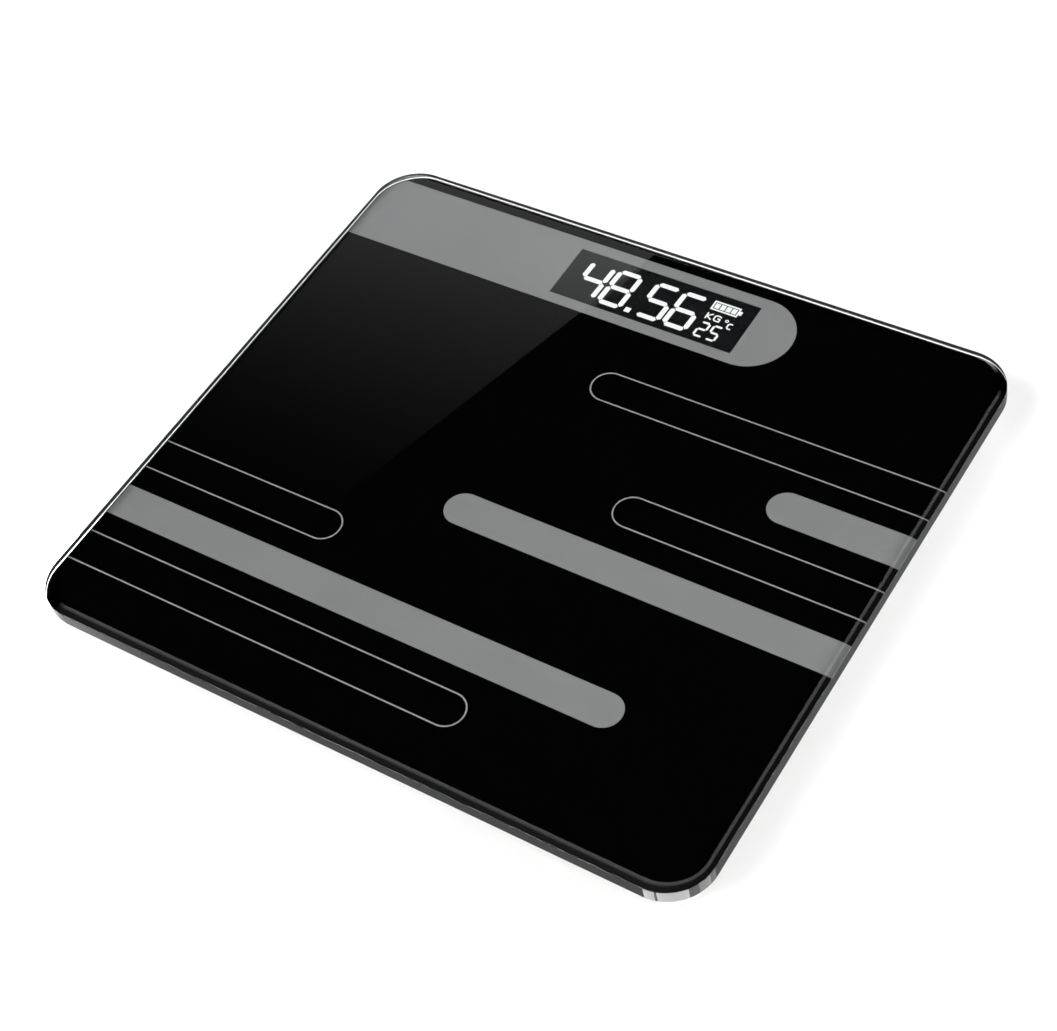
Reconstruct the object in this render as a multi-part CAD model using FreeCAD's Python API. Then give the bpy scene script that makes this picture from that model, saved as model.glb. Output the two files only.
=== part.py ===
import FreeCAD, Part
import math
import os

# Digital bathroom scale. Millimetres, +Z up, the floor at z = 0, the plate's centre on the Z axis.
# The user stands at -Y and reads the display, which is near the +Y edge.

# ---- driving dimensions ----
PLATE_W = 280.0
PLATE_D = 250.0
PLATE_CORNER = 18.0
OVERALL_H = 26.0
GLASS_T = 7.0
BEVEL_W = 3.0
BEVEL_H = 0.8
ARRIS = 0.3
PRINT_INSET = 0.35

GREY_INK_T = 0.15
BLACK_PRINT_T = 0.25
GASKET_T = 0.5
GASKET_W = 5.0

TRAY_BOTTOM = 4.0
TRAY_FLOOR_T = 2.0
TRAY_WALL = 2.0
TRAY_TOP_INSET = 4.5
TRAY_BOTTOM_INSET = 6.5
TRAY_EDGE_ROUND = 2.5

WINDOW = (-44.3, 36.9, 89.3, 115.0)          # x low, x high, y low, y high
BAND_Y = (84.6, 119.9)
BAND_END_X = 56.4
BAR_H = 14.6
OUTLINE_T = 0.6
# side that each bar runs off, X of its round end, Y of its middle line
SOLID_BARS = (
    ("right", 84.0, 32.0),
    ("right", -22.9, -18.3),
    ("left", 83.2, -70.7),
)
OUTLINED_BARS = (
    ("right", -4.1, 55.5),
    ("right", 34.4, 6.8),
    ("left", -52.1, -46.5),
    ("left", 34.5, -94.5),
)

FOOT_X = 103.0
FOOT_Y = 88.0
FOOT_R = 20.0
FOOT_HOLE_R = 21.0
FOOT_WALL = 1.7
FOOT_BASE_Z = 1.0
PAD_R = 16.5
PAD_SEAT_Z = 2.0
CELL_SIZE = 34.0
CELL_T = 1.5
CELL_Z = 9.0
RETAINER_T = 1.8
BOSS_OFFSET = 20.5
BOSS_R = 3.0

BOARD = (-56.6, 49.4, 64.0, 116.6)           # x low, x high, y low, y high
BOARD_Z = 10.8
BOARD_T = 1.6
BOARD_SCREWS = ((-53.6, 68.0), (46.4, 68.0), (-53.6, 112.5), (46.4, 112.5))
CHIP_PLACE = (-22.0, 72.5)
CHIP_R = 6.0
CONVERTER = (0.0, 6.0, 70.0, 74.0)           # x low, x high, y low, y high
CRYSTAL = (32.0, 42.0, 70.0, 73.6)
CAPACITOR_ROW = (-8.0, 76.6)                 # first part's corner; five parts towards +X
RESISTOR_ROW = (-38.0, 67.5)                 # first part's corner; three parts towards +Y
SENSOR_PLACE = (-45.0, 72.0)
SENSOR_H = 2.6
LCD_W = 88.0
LCD_D = 27.8
LCD_FRONT_D = 26.0
LCD_Z = 15.7
LCD_T = 2.8
FRAME_WALL_X = 2.2
FRAME_WALL_Y = 0.9
SEGMENT_T = 0.06
FIGURE_LINE = 2.1
SMALL_FIGURE_LINE = 0.95
LETTER_LINE = 0.6

BUTTON_X = 22.0
BUTTON_Y = 72.0
BUTTON_R = 5.0
BUTTON_TRAVEL = 0.7

BATTERY_R = 5.25
BATTERY_L = 44.5
BATTERY_Z = 11.15
BATTERY_Y = 40.0
BATTERY_SPACING = 11.2
BAY_L = 50.0
BAY_D = 23.0
BAY_ROOF_Z = 16.9
BAY_WALL = 1.4
COVER_W = 54.0
COVER_D = 27.0
COVER_T = 1.4
COVER_GAP = 0.25
HINGE_PIN_R = 0.5
HINGE_FIT = 0.05

WIRE_R = 0.45
WIRE_PITCH = 1.1
WIRE_FLOOR_Z = 7.0
WIRE_BEND = 1.6
LONG_RUN_X = 60.0
BOARD_RUN_X = 40.0
REAR_WIRE_X = 46.0
WIRE_TURN_Y = 42.0
FRONT_WIRE_END_Y = 78.0

RIB_T = 1.2
RIB_H = 4.0
CROSS_RIBS_Y = (-96.0, -64.0, -32.0, 0.0)
CROSS_RIB_REACH = 50.0
LONG_RIBS_X = (-25.0, 0.0, 25.0)
SIDE_RIB_X = 88.0
SIDE_RIB_REACH = 58.0
CLIPS_Y = (-50.0, -10.0, 30.0)
PILOT_R = 0.9

# ---- levels that follow from them ----
GLASS_Z = OVERALL_H - GLASS_T
GREY_Z = GLASS_Z - GREY_INK_T
BLACK_Z = GREY_Z - BLACK_PRINT_T
TRAY_TOP = BLACK_Z - GASKET_T
FLOOR_Z = TRAY_BOTTOM + TRAY_FLOOR_T
BOARD_TOP = BOARD_Z + BOARD_T
CELL_TOP = CELL_Z + CELL_T
WINDOW_X = (WINDOW[0] + WINDOW[1]) / 2.0
WINDOW_Y = (WINDOW[2] + WINDOW[3]) / 2.0
CORNERS = {
    "front_left": (-1, -1),
    "front_right": (1, -1),
    "rear_left": (-1, 1),
    "rear_right": (1, 1),
}

os.makedirs("parts", exist_ok=True)


def vec(x, y, z):
    return FreeCAD.Vector(x, y, z)


def save(name, shape):
    shape.exportStep("parts/" + name + ".step")


def box(x_low, x_high, y_low, y_high, z_low, z_high):
    return Part.makeBox(x_high - x_low, y_high - y_low, z_high - z_low, vec(x_low, y_low, z_low))


def rod(radius, z_low, z_high, x=0.0, y=0.0):
    return Part.makeCylinder(radius, z_high - z_low, vec(x, y, z_low))


def rod_x(radius, x_low, x_high, y, z):
    return Part.makeCylinder(radius, x_high - x_low, vec(x_low, y, z), vec(1, 0, 0))


def tube(outer, inner, z_low, z_high, x=0.0, y=0.0):
    return rod(outer, z_low, z_high, x, y).cut(rod(inner, z_low, z_high, x, y))


def join(shapes):
    """One solid out of several that touch or overlap."""
    first = shapes[0]
    return first.fuse(shapes[1:]).removeSplitter()


def rounded_outline(width, depth, radius, z, x=0.0, y=0.0):
    """Closed outline of a rectangle with round corners."""
    half_w = width / 2.0
    half_d = depth / 2.0
    edges = []
    arcs = []
    for quarter, (sign_x, sign_y) in enumerate(((1, 1), (-1, 1), (-1, -1), (1, -1))):
        corner_x = sign_x * half_w
        corner_y = sign_y * half_d
        centre_x = x + corner_x - math.copysign(radius, corner_x)
        centre_y = y + corner_y - math.copysign(radius, corner_y)
        points = []
        for turn in (0.0, 45.0, 90.0):
            angle = math.radians(90.0 * quarter + turn)
            points.append(vec(centre_x + radius * math.cos(angle), centre_y + radius * math.sin(angle), z))
        arcs.append(points)
    for index, points in enumerate(arcs):
        following = arcs[(index + 1) % len(arcs)]
        edges.append(Part.Arc(points[0], points[1], points[2]).toShape())
        edges.append(Part.makeLine(points[2], following[0]))
    return Part.Wire(edges)


def rounded_plate(width, depth, radius, z_low, z_high, x=0.0, y=0.0):
    outline = rounded_outline(width, depth, radius, z_low, x, y)
    return Part.Face(outline).extrude(vec(0, 0, z_high - z_low))


def rounded_taper(low, z_low, high, z_high):
    """Solid between two round-cornered outlines, each given as width, depth and corner radius."""
    bottom = rounded_outline(low[0], low[1], low[2], z_low)
    top = rounded_outline(high[0], high[1], high[2], z_high)
    return Part.makeLoft([bottom, top], True, True)


def inset_size(inset):
    """Width, depth and corner radius of the plate's outline moved inwards."""
    return (PLATE_W - 2 * inset, PLATE_D - 2 * inset, PLATE_CORNER - inset)


def pill(low_x, high_x, low_y, high_y, z_low, z_high):
    """Bar with round ends."""
    radius = (high_y - low_y) / 2.0
    middle_y = low_y + radius
    body = box(low_x + radius, high_x - radius, low_y, high_y, z_low, z_high)
    low_end = rod(radius, z_low, z_high, low_x + radius, middle_y)
    high_end = rod(radius, z_low, z_high, high_x - radius, middle_y)
    return join([body, low_end, high_end])


def stroke(points, width, z_low, z_high):
    """Line of even width with round ends and joints through the given points."""
    pieces = []
    for start, end in zip(points, points[1:]):
        length = math.hypot(end[0] - start[0], end[1] - start[1])
        angle = math.degrees(math.atan2(end[1] - start[1], end[0] - start[0]))
        bar = box(0.0, length, -width / 2.0, width / 2.0, z_low, z_high)
        bar.rotate(vec(0, 0, 0), vec(0, 0, 1), angle)
        bar.translate(vec(start[0], start[1], 0))
        pieces.append(bar)
    for x, y in points:
        pieces.append(rod(width / 2.0, z_low, z_high, x, y))
    return join(pieces)


def bent_wire(points, radius, bend):
    """Round wire along straight runs joined by tangent arcs."""
    edges = []
    start = points[0]
    for before, corner, after in zip(points, points[1:], points[2:]):
        into = (before - corner).normalize()
        out = (after - corner).normalize()
        half_angle = into.getAngle(out) / 2.0
        reach = bend / math.tan(half_angle)
        arc_start = corner + into * reach
        arc_end = corner + out * reach
        middle_direction = (into + out).normalize()
        centre = corner + middle_direction * (bend / math.sin(half_angle))
        arc_middle = centre - middle_direction * bend
        edges.append(Part.makeLine(start, arc_start))
        edges.append(Part.Arc(arc_start, arc_middle, arc_end).toShape())
        start = arc_end
    edges.append(Part.makeLine(start, points[-1]))
    path = Part.Wire(edges)
    section = Part.Wire([Part.makeCircle(radius, points[0], points[1] - points[0])])
    return path.makePipeShell([section], True, True)


# ---- glass platform and what is printed under it ----
def glass_platform():
    bottom = rounded_taper(inset_size(ARRIS), GLASS_Z, inset_size(0.0), GLASS_Z + ARRIS)
    bevel_z = OVERALL_H - BEVEL_H
    body = rounded_plate(PLATE_W, PLATE_D, PLATE_CORNER, GLASS_Z + ARRIS, bevel_z)
    top = rounded_taper(inset_size(0.0), bevel_z, inset_size(BEVEL_W), OVERALL_H)
    return join([body, bottom, top])


def print_area(z_low, z_high):
    width, depth, radius = inset_size(ARRIS + PRINT_INSET)
    return rounded_plate(width, depth, radius, z_low, z_high)


def window_cut(z_low, z_high):
    return box(WINDOW[0], WINDOW[1], WINDOW[2], WINDOW[3], z_low, z_high)


def running_off_bar(side, end_x, middle_y, height):
    """Bar with one round end that runs off the left or right side of the plate."""
    low_y = middle_y - height / 2.0
    high_y = middle_y + height / 2.0
    past_edge = PLATE_W / 2.0 + height
    if side == "right":
        return pill(end_x, past_edge, low_y, high_y, GREY_Z, GLASS_Z)
    return pill(-past_edge, end_x, low_y, high_y, GREY_Z, GLASS_Z)


def grey_print():
    area = print_area(GREY_Z, GLASS_Z)
    band = running_off_bar("left", BAND_END_X, sum(BAND_Y) / 2.0, BAND_Y[1] - BAND_Y[0])
    shapes = [band.common(area).cut(window_cut(GREY_Z, GLASS_Z))]
    for side, end_x, middle_y in SOLID_BARS:
        shapes.append(running_off_bar(side, end_x, middle_y, BAR_H).common(area))
    return Part.makeCompound([shape.Solids[0] for shape in shapes])


def line_print():
    area = print_area(GREY_Z, GLASS_Z)
    shapes = []
    for side, end_x, middle_y in OUTLINED_BARS:
        inner_end = end_x + OUTLINE_T if side == "right" else end_x - OUTLINE_T
        outer = running_off_bar(side, end_x, middle_y, BAR_H)
        inner = running_off_bar(side, inner_end, middle_y, BAR_H - 2 * OUTLINE_T)
        shapes.append(outer.cut(inner).common(area).Solids[0])
    return Part.makeCompound(shapes)


def black_print():
    return print_area(BLACK_Z, GREY_Z).cut(window_cut(BLACK_Z, GREY_Z))


def foam_gasket():
    outer = inset_size(TRAY_TOP_INSET + 0.3)
    inner = inset_size(TRAY_TOP_INSET + 0.3 + GASKET_W)
    ring = rounded_plate(outer[0], outer[1], outer[2], TRAY_TOP, BLACK_Z)
    hole = rounded_plate(inner[0], inner[1], inner[2], TRAY_TOP, BLACK_Z)
    return ring.cut(hole)


# ---- tray ----
def tray_inset(z):
    share = (z - TRAY_BOTTOM) / (TRAY_TOP - TRAY_BOTTOM)
    return TRAY_BOTTOM_INSET + (TRAY_TOP_INSET - TRAY_BOTTOM_INSET) * share


def tray_shell():
    outer = rounded_taper(inset_size(TRAY_BOTTOM_INSET), TRAY_BOTTOM, inset_size(TRAY_TOP_INSET), TRAY_TOP)
    bottom_edges = [edge for edge in outer.Edges if edge.BoundBox.ZMax < TRAY_BOTTOM + 0.01]
    outer = outer.makeFillet(TRAY_EDGE_ROUND, bottom_edges)
    hollow_low = inset_size(tray_inset(FLOOR_Z) + TRAY_WALL)
    hollow_high = inset_size(TRAY_TOP_INSET + TRAY_WALL)
    shell = outer.cut(rounded_taper(hollow_low, FLOOR_Z, hollow_high, TRAY_TOP))
    lip_low = inset_size(TRAY_TOP_INSET + TRAY_WALL)
    lip_high = inset_size(TRAY_TOP_INSET + TRAY_WALL + 1.4)
    lip = rounded_plate(lip_low[0] + 0.4, lip_low[1] + 0.4, lip_low[2] + 0.2, TRAY_TOP - 1.2, TRAY_TOP)
    lip_hole = rounded_plate(lip_high[0], lip_high[1], lip_high[2], TRAY_TOP - 1.2, TRAY_TOP)
    return shell, lip.cut(lip_hole)


def boss_places(side_x, side_y):
    """The two retainer bosses of one corner, on the diagonal through the plate's corner."""
    centre_x = side_x * FOOT_X
    centre_y = side_y * FOOT_Y
    offset_x = side_x * BOSS_OFFSET
    offset_y = side_y * BOSS_OFFSET
    return ((centre_x + offset_x, centre_y + offset_y), (centre_x - offset_x, centre_y - offset_y))


def bay_box(margin, z_low, z_high):
    half_l = BAY_L / 2.0 + margin
    half_d = BAY_D / 2.0 + margin
    return box(-half_l, half_l, BATTERY_Y - half_d, BATTERY_Y + half_d, z_low, z_high)


def hinge_place():
    """Y and Z of the cover's hinge line, at the middle of its rounded edge."""
    return BATTERY_Y - COVER_D / 2.0 + COVER_T / 2.0, TRAY_BOTTOM + COVER_T / 2.0


def cell_lanes():
    return (-WIRE_PITCH, 0.0, WIRE_PITCH)


def base_tray():
    shell, lip = tray_shell()
    added = [lip]
    removed = []
    for side_x, side_y in CORNERS.values():
        x = side_x * FOOT_X
        y = side_y * FOOT_Y
        added.append(tube(FOOT_HOLE_R + 1.5, FOOT_HOLE_R, FLOOR_Z - 0.2, CELL_Z, x, y))
        removed.append(rod(FOOT_HOLE_R, TRAY_BOTTOM, FLOOR_Z + 0.1, x, y))
        removed.append(tube(FOOT_HOLE_R + 2.6, FOOT_HOLE_R + 1.8, TRAY_BOTTOM, TRAY_BOTTOM + 0.5, x, y))
        for boss_x, boss_y in boss_places(side_x, side_y):
            added.append(rod(BOSS_R, FLOOR_Z - 0.2, CELL_TOP, boss_x, boss_y))
            removed.append(rod(PILOT_R, FLOOR_Z + 0.5, CELL_TOP, boss_x, boss_y))
    for x, y in BOARD_SCREWS:
        added.append(rod(BOSS_R, FLOOR_Z - 0.2, BOARD_Z, x, y))
        removed.append(rod(PILOT_R, FLOOR_Z + 0.5, BOARD_Z, x, y))

    # battery bay: four walls and a roof over an opening in the floor
    added.append(bay_box(BAY_WALL, FLOOR_Z - 0.2, BAY_ROOF_Z + 1.1))
    removed.append(bay_box(0.0, TRAY_BOTTOM, BAY_ROOF_Z))
    recess_w = COVER_W / 2.0 + COVER_GAP
    recess_d = COVER_D / 2.0 + COVER_GAP
    removed.append(box(-recess_w, recess_w, BATTERY_Y - recess_d, BATTERY_Y + recess_d,
                       TRAY_BOTTOM, TRAY_BOTTOM + COVER_T + 0.05))
    hinge_y, hinge_z = hinge_place()
    pin_reach = recess_w + 1.4
    removed.append(rod_x(HINGE_PIN_R + HINGE_FIT, -pin_reach, pin_reach, hinge_y, hinge_z))
    for terminal_y in (BATTERY_Y - BATTERY_SPACING / 2.0, BATTERY_Y + BATTERY_SPACING / 2.0):
        removed.append(box(BAY_L / 2.0 - 0.1, BAY_L / 2.0 + BAY_WALL + 0.1,
                           terminal_y - 1.6, terminal_y + 1.6, BATTERY_Z + 0.9, BATTERY_Z + 3.1))
    # finger notch at the cover's free edge
    removed.append(rod(5.0, TRAY_BOTTOM, TRAY_BOTTOM + 1.0, 0.0, BATTERY_Y + COVER_D / 2.0 + 1.6))

    # stiffening ribs, low enough to clear the wires' level by standing between them
    half_rib = RIB_T / 2.0
    rib_low = FLOOR_Z - 0.2
    rib_top = FLOOR_Z + RIB_H
    for y in CROSS_RIBS_Y:
        added.append(box(-CROSS_RIB_REACH, CROSS_RIB_REACH, y - half_rib, y + half_rib, rib_low, rib_top))
    for x in LONG_RIBS_X:
        added.append(box(x - half_rib, x + half_rib, -112.0, 12.0, rib_low, rib_top))
    for side in (-1, 1):
        x = side * SIDE_RIB_X
        added.append(box(x - half_rib, x + half_rib, -SIDE_RIB_REACH, SIDE_RIB_REACH, rib_low, rib_top))
        # clips that hold the front cells' wires beside the long runs
        for y in CLIPS_Y:
            for edge in (-1, 1):
                x = side * LONG_RUN_X + edge * (1.5 * WIRE_PITCH + 0.7)
                added.append(box(x - 0.5, x + 0.5, y - 2.0, y + 2.0, rib_low, FLOOR_Z + 2.2))

    # guide hole for the unit button
    removed.append(rod(BUTTON_R + 0.15, TRAY_BOTTOM, FLOOR_Z + 0.1, BUTTON_X, BUTTON_Y))
    removed.append(tube(BUTTON_R + 2.2, BUTTON_R + 1.4, TRAY_BOTTOM, TRAY_BOTTOM + 0.4, BUTTON_X, BUTTON_Y))
    tray = shell.fuse(added)
    tray = tray.cut(removed)
    return tray.removeSplitter()


# ---- feet and load cells ----
def foot_cup(x, y):
    floor = rod(FOOT_R, FOOT_BASE_Z, FOOT_BASE_Z + 2.2, x, y)
    lower_edge = [edge for edge in floor.Edges if edge.BoundBox.ZMax < FOOT_BASE_Z + 0.01]
    floor = floor.makeFillet(0.8, lower_edge)
    wall = tube(FOOT_R, FOOT_R - FOOT_WALL, FOOT_BASE_Z + 2.0, 7.5, x, y)
    boss = rod(5.0, FOOT_BASE_Z + 2.0, CELL_Z, x, y)
    ribs = []
    for turn in range(6):
        rib = box(4.0, FOOT_R - FOOT_WALL + 0.3, -0.6, 0.6, FOOT_BASE_Z + 2.0, 6.5)
        rib.rotate(vec(0, 0, 0), vec(0, 0, 1), 60.0 * turn)
        rib.translate(vec(x, y, 0))
        ribs.append(rib)
    cup = join([floor, wall, boss] + ribs)
    return cup.cut(rod(PAD_R + 0.1, FOOT_BASE_Z, PAD_SEAT_Z, x, y))


def foot_pad(x, y):
    pad = rod(PAD_R, 0.0, PAD_SEAT_Z, x, y)
    lower_edge = [edge for edge in pad.Edges if edge.BoundBox.ZMax < 0.01]
    pad = pad.makeFillet(0.4, lower_edge)
    grooves = []
    for radius in (4.5, 8.0, 11.5):
        grooves.append(tube(radius + 0.5, radius - 0.5, 0.0, 0.5, x, y))
    return pad.cut(grooves)


def load_cell(x, y):
    """Stamped steel plate whose middle tongue is freed by a U-shaped slot."""
    plate = rounded_plate(CELL_SIZE, CELL_SIZE, 3.0, CELL_Z, CELL_TOP, x, y)
    slots = [
        box(x - 9.5, x - 7.5, y - 13.0, y + 8.0, CELL_Z, CELL_TOP),
        box(x + 7.5, x + 9.5, y - 13.0, y + 8.0, CELL_Z, CELL_TOP),
        box(x - 9.5, x + 9.5, y - 13.0, y - 11.0, CELL_Z, CELL_TOP),
    ]
    return plate.cut(slots)


def strain_gauge(x, y):
    carrier = box(x - 4.0, x + 4.0, y + 7.0, y + 12.0, CELL_TOP, CELL_TOP + 0.2)
    coating = rounded_plate(6.0, 4.0, 1.2, CELL_TOP + 0.2, CELL_TOP + 0.8, x, y + 9.5)
    return join([carrier, coating])


def cell_retainer(side_x, side_y):
    x = side_x * FOOT_X
    y = side_y * FOOT_Y
    low = CELL_TOP
    high = CELL_TOP + RETAINER_T
    ring = tube(23.5, 14.5, low, high, x, y)
    ears = []
    holes = []
    for boss_x, boss_y in boss_places(side_x, side_y):
        ears.append(rod(BOSS_R + 0.6, low, high, boss_x, boss_y))
        length = math.hypot(boss_x - x, boss_y - y)
        arm = box(16.0, length, -BOSS_R, BOSS_R, low, high)
        arm.rotate(vec(0, 0, 0), vec(0, 0, 1), math.degrees(math.atan2(boss_y - y, boss_x - x)))
        arm.translate(vec(x, y, 0))
        ears.append(arm)
        holes.append(rod(1.25, low, high, boss_x, boss_y))
    inward = -side_x
    passage = box(min(0.0, inward * 30.0), max(0.0, inward * 30.0), -3.0, 3.0, low, high)
    passage.translate(vec(x, y, 0))
    return join([ring] + ears).cut(holes + [passage])


def self_tapping_screw(x, y, seat_z, length):
    """Pan-head screw with a cross recess, its head on the surface at seat_z."""
    head_r = 2.1
    head = rod(head_r, seat_z, seat_z + 1.3, x, y)
    rim = [edge for edge in head.Edges if edge.BoundBox.ZMin > seat_z + 1.29]
    head = head.makeFillet(0.6, rim)
    shank = rod(0.85, seat_z - length, seat_z + 0.1, x, y)
    arms = []
    for turn in (45.0, 135.0):
        arm = box(-1.1, 1.1, -0.25, 0.25, seat_z + 0.7, seat_z + 1.4)
        arm.rotate(vec(0, 0, 0), vec(0, 0, 1), turn)
        arm.translate(vec(x, y, 0))
        arms.append(arm)
    return join([head, shank]).cut(arms)


def retainer_screws():
    screws = []
    for side_x, side_y in CORNERS.values():
        for boss_x, boss_y in boss_places(side_x, side_y):
            screws.append(self_tapping_screw(boss_x, boss_y, CELL_TOP + RETAINER_T, 5.0))
    return Part.makeCompound(screws)


def cell_wires(side_x, side_y):
    """Three wires from one load cell along the tray floor to the board's underside."""
    inward = -side_x
    start_x = side_x * FOOT_X + inward * 13.0
    floor_x = side_x * FOOT_X + inward * 30.0
    run_y = side_y * FOOT_Y
    top_z = CELL_TOP + WIRE_R
    wires = []
    for lane in cell_lanes():
        points = [vec(start_x, run_y + lane, top_z)]
        points.append(vec(floor_x - inward * 4.5, run_y + lane, top_z))
        points.append(vec(floor_x, run_y + lane, WIRE_FLOOR_Z))
        if side_y > 0:
            end_x = side_x * REAR_WIRE_X
            points.append(vec(end_x, run_y + lane, WIRE_FLOOR_Z))
            points.append(vec(end_x, run_y + lane, BOARD_Z))
        else:
            long_x = side_x * (LONG_RUN_X + lane)
            turn_x = side_x * (BOARD_RUN_X + lane)
            slant = LONG_RUN_X - BOARD_RUN_X
            points.append(vec(long_x, run_y + lane, WIRE_FLOOR_Z))
            corner_shift = lane * (math.sqrt(2.0) - 1.0)
            points.append(vec(long_x, WIRE_TURN_Y + corner_shift, WIRE_FLOOR_Z))
            points.append(vec(turn_x, WIRE_TURN_Y + slant + corner_shift, WIRE_FLOOR_Z))
            points.append(vec(turn_x, FRONT_WIRE_END_Y, WIRE_FLOOR_Z))
            points.append(vec(turn_x, FRONT_WIRE_END_Y, BOARD_Z))
        wires.append(bent_wire(points, WIRE_R, WIRE_BEND))
    return Part.makeCompound(wires)


# ---- display and board ----
def lcd_block(width, depth, z_low, z_high):
    half_w = width / 2.0
    half_d = depth / 2.0
    return box(WINDOW_X - half_w, WINDOW_X + half_w, WINDOW_Y - half_d, WINDOW_Y + half_d, z_low, z_high)


def display_frame():
    high = LCD_Z + 2.2
    outer = lcd_block(LCD_W + 2 * FRAME_WALL_X, LCD_D + 2 * FRAME_WALL_Y, BOARD_TOP, high)
    return outer.cut(lcd_block(LCD_W + 0.3, LCD_D + 0.3, BOARD_TOP, high))


def lcd_panel():
    """Two bonded glass plates, the rear one with a ledge for the contacts."""
    rear = lcd_block(LCD_W, LCD_D, LCD_Z, LCD_Z + LCD_T / 2.0)
    front = lcd_block(LCD_W, LCD_FRONT_D, LCD_Z + LCD_T / 2.0, LCD_Z + LCD_T)
    return join([rear, front])


def backlight_panel():
    return lcd_block(LCD_W - 3.0, LCD_D - 6.5, BOARD_TOP, LCD_Z)


def zebra_strips():
    strips = []
    for side in (-1, 1):
        y = WINDOW_Y + side * (LCD_D / 2.0 - 1.5)
        strips.append(box(WINDOW_X - 41.0, WINDOW_X + 41.0, y - 0.9, y + 0.9, BOARD_TOP, LCD_Z))
    return Part.makeCompound(strips)


SEGMENTS_OF = {
    "2": "abged",
    "4": "fgbc",
    "5": "afgcd",
    "6": "afgecd",
    "8": "abcdefg",
}


def bar_segment(start, end, width, z_low, z_high):
    """Straight display segment with ends cut to a blunt point."""
    length = math.hypot(end[0] - start[0], end[1] - start[1])
    half = width / 2.0
    tip = half * 0.75
    upper = ((0.0, 0.0), (tip, half), (length - tip, half), (length, 0.0))
    lower = ((length - tip, -half), (tip, -half), (0.0, 0.0))
    wire = Part.makePolygon([vec(px, py, z_low) for px, py in upper + lower])
    bar = Part.Face(wire).extrude(vec(0, 0, z_high - z_low))
    angle = math.degrees(math.atan2(end[1] - start[1], end[0] - start[0]))
    bar.rotate(vec(0, 0, 0), vec(0, 0, 1), angle)
    bar.translate(vec(start[0], start[1], 0))
    return bar


def digit(figure, x, y, width, height, line, z_low, z_high):
    """Seven-segment figure with its lower left corner at x, y and a slight lean to the right."""
    lean = math.tan(math.radians(2.0))
    gap = line * 0.16
    left = line / 2.0
    right = width - line / 2.0
    bottom = line / 2.0
    middle = height / 2.0
    top = height - line / 2.0
    ends = {
        "a": ((left + gap, top), (right - gap, top)),
        "b": ((right, top - gap), (right, middle + gap)),
        "c": ((right, middle - gap), (right, bottom + gap)),
        "d": ((left + gap, bottom), (right - gap, bottom)),
        "e": ((left, middle - gap), (left, bottom + gap)),
        "f": ((left, top - gap), (left, middle + gap)),
        "g": ((left + gap, middle), (right - gap, middle)),
    }
    bars = []
    for name in SEGMENTS_OF[figure]:
        placed = [(x + px + lean * py, y + py) for px, py in ends[name]]
        bars.append(bar_segment(placed[0], placed[1], line, z_low, z_high))
    return bars


def unit_letters(line, z_low, z_high):
    """K and G, drawn round the middle of the display window."""
    stem = stroke(((22.7, 0.0), (22.7, 2.8)), line, z_low, z_high)
    arms = stroke(((24.8, 2.8), (22.8, 1.3), (24.9, 0.0)), line, z_low, z_high)
    bowl = ((28.5, 2.5), (27.8, 2.8), (26.6, 2.8), (26.1, 2.2), (26.1, 0.6), (26.6, 0.0))
    spur = ((28.5, 0.0), (28.5, 1.4), (27.6, 1.4))
    return [join([stem, arms]), stroke(bowl + spur, line, z_low, z_high)]


def degree_sign(line, z_low, z_high):
    """Small ring and C, drawn round the middle of the display window."""
    ring = tube(0.75, 0.35, z_low, z_high, 31.4, 1.7)
    bowl = ((34.3, 0.9), (33.3, 0.9), (32.8, 0.4), (32.8, -1.2), (33.3, -1.7), (34.3, -1.7))
    return [ring, stroke(bowl, line, z_low, z_high)]


def battery_sign(z_low, z_high):
    """Outline of a cell with four bars in it, drawn round the middle of the display window."""
    case = box(22.1, 33.7, 4.9, 9.7, z_low, z_high).cut(box(22.8, 33.0, 5.6, 9.0, z_low, z_high))
    nub = box(33.6, 34.9, 6.3, 8.3, z_low, z_high)
    bars = []
    for step in range(4):
        x = 23.2 + step * 2.45
        bars.append(box(x, x + 2.0, 6.0, 8.6, z_low, z_high))
    return [join([case, nub])] + bars


def lcd_segments():
    """Everything that shows as lit: four figures and a point, the unit, a battery and a temperature."""
    low = LCD_Z + LCD_T
    high = low + SEGMENT_T
    lit = []
    for figure, x in (("4", -33.9), ("8", -21.5), ("5", -4.3), ("6", 7.9)):
        lit += digit(figure, x, -9.9, 11.4, 19.4, FIGURE_LINE, low, high)
    lit.append(box(-8.4, -6.0, -9.8, -7.4, low, high))
    for figure, x in (("2", 22.1), ("5", 27.5)):
        lit += digit(figure, x, -10.0, 4.5, 8.2, SMALL_FIGURE_LINE, low, high)
    lit += unit_letters(LETTER_LINE, low, high)
    lit += degree_sign(LETTER_LINE, low, high)
    lit += battery_sign(low, high)
    signs = Part.makeCompound([piece.Solids[0] for piece in lit])
    signs.translate(vec(WINDOW_X, WINDOW_Y, 0))
    return signs


def main_board():
    board = box(BOARD[0], BOARD[1], BOARD[2], BOARD[3], BOARD_Z, BOARD_TOP)
    holes = [rod(1.1, BOARD_Z, BOARD_TOP, x, y) for x, y in BOARD_SCREWS]
    return board.cut(holes)


def board_screws():
    return Part.makeCompound([self_tapping_screw(x, y, BOARD_TOP, 5.5) for x, y in BOARD_SCREWS])


def control_chip():
    blob = rod(CHIP_R, BOARD_TOP, BOARD_TOP + 1.6, CHIP_PLACE[0], CHIP_PLACE[1])
    top_edge = [edge for edge in blob.Edges if edge.BoundBox.ZMin > BOARD_TOP + 1.59]
    return blob.makeFillet(1.2, top_edge)


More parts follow.
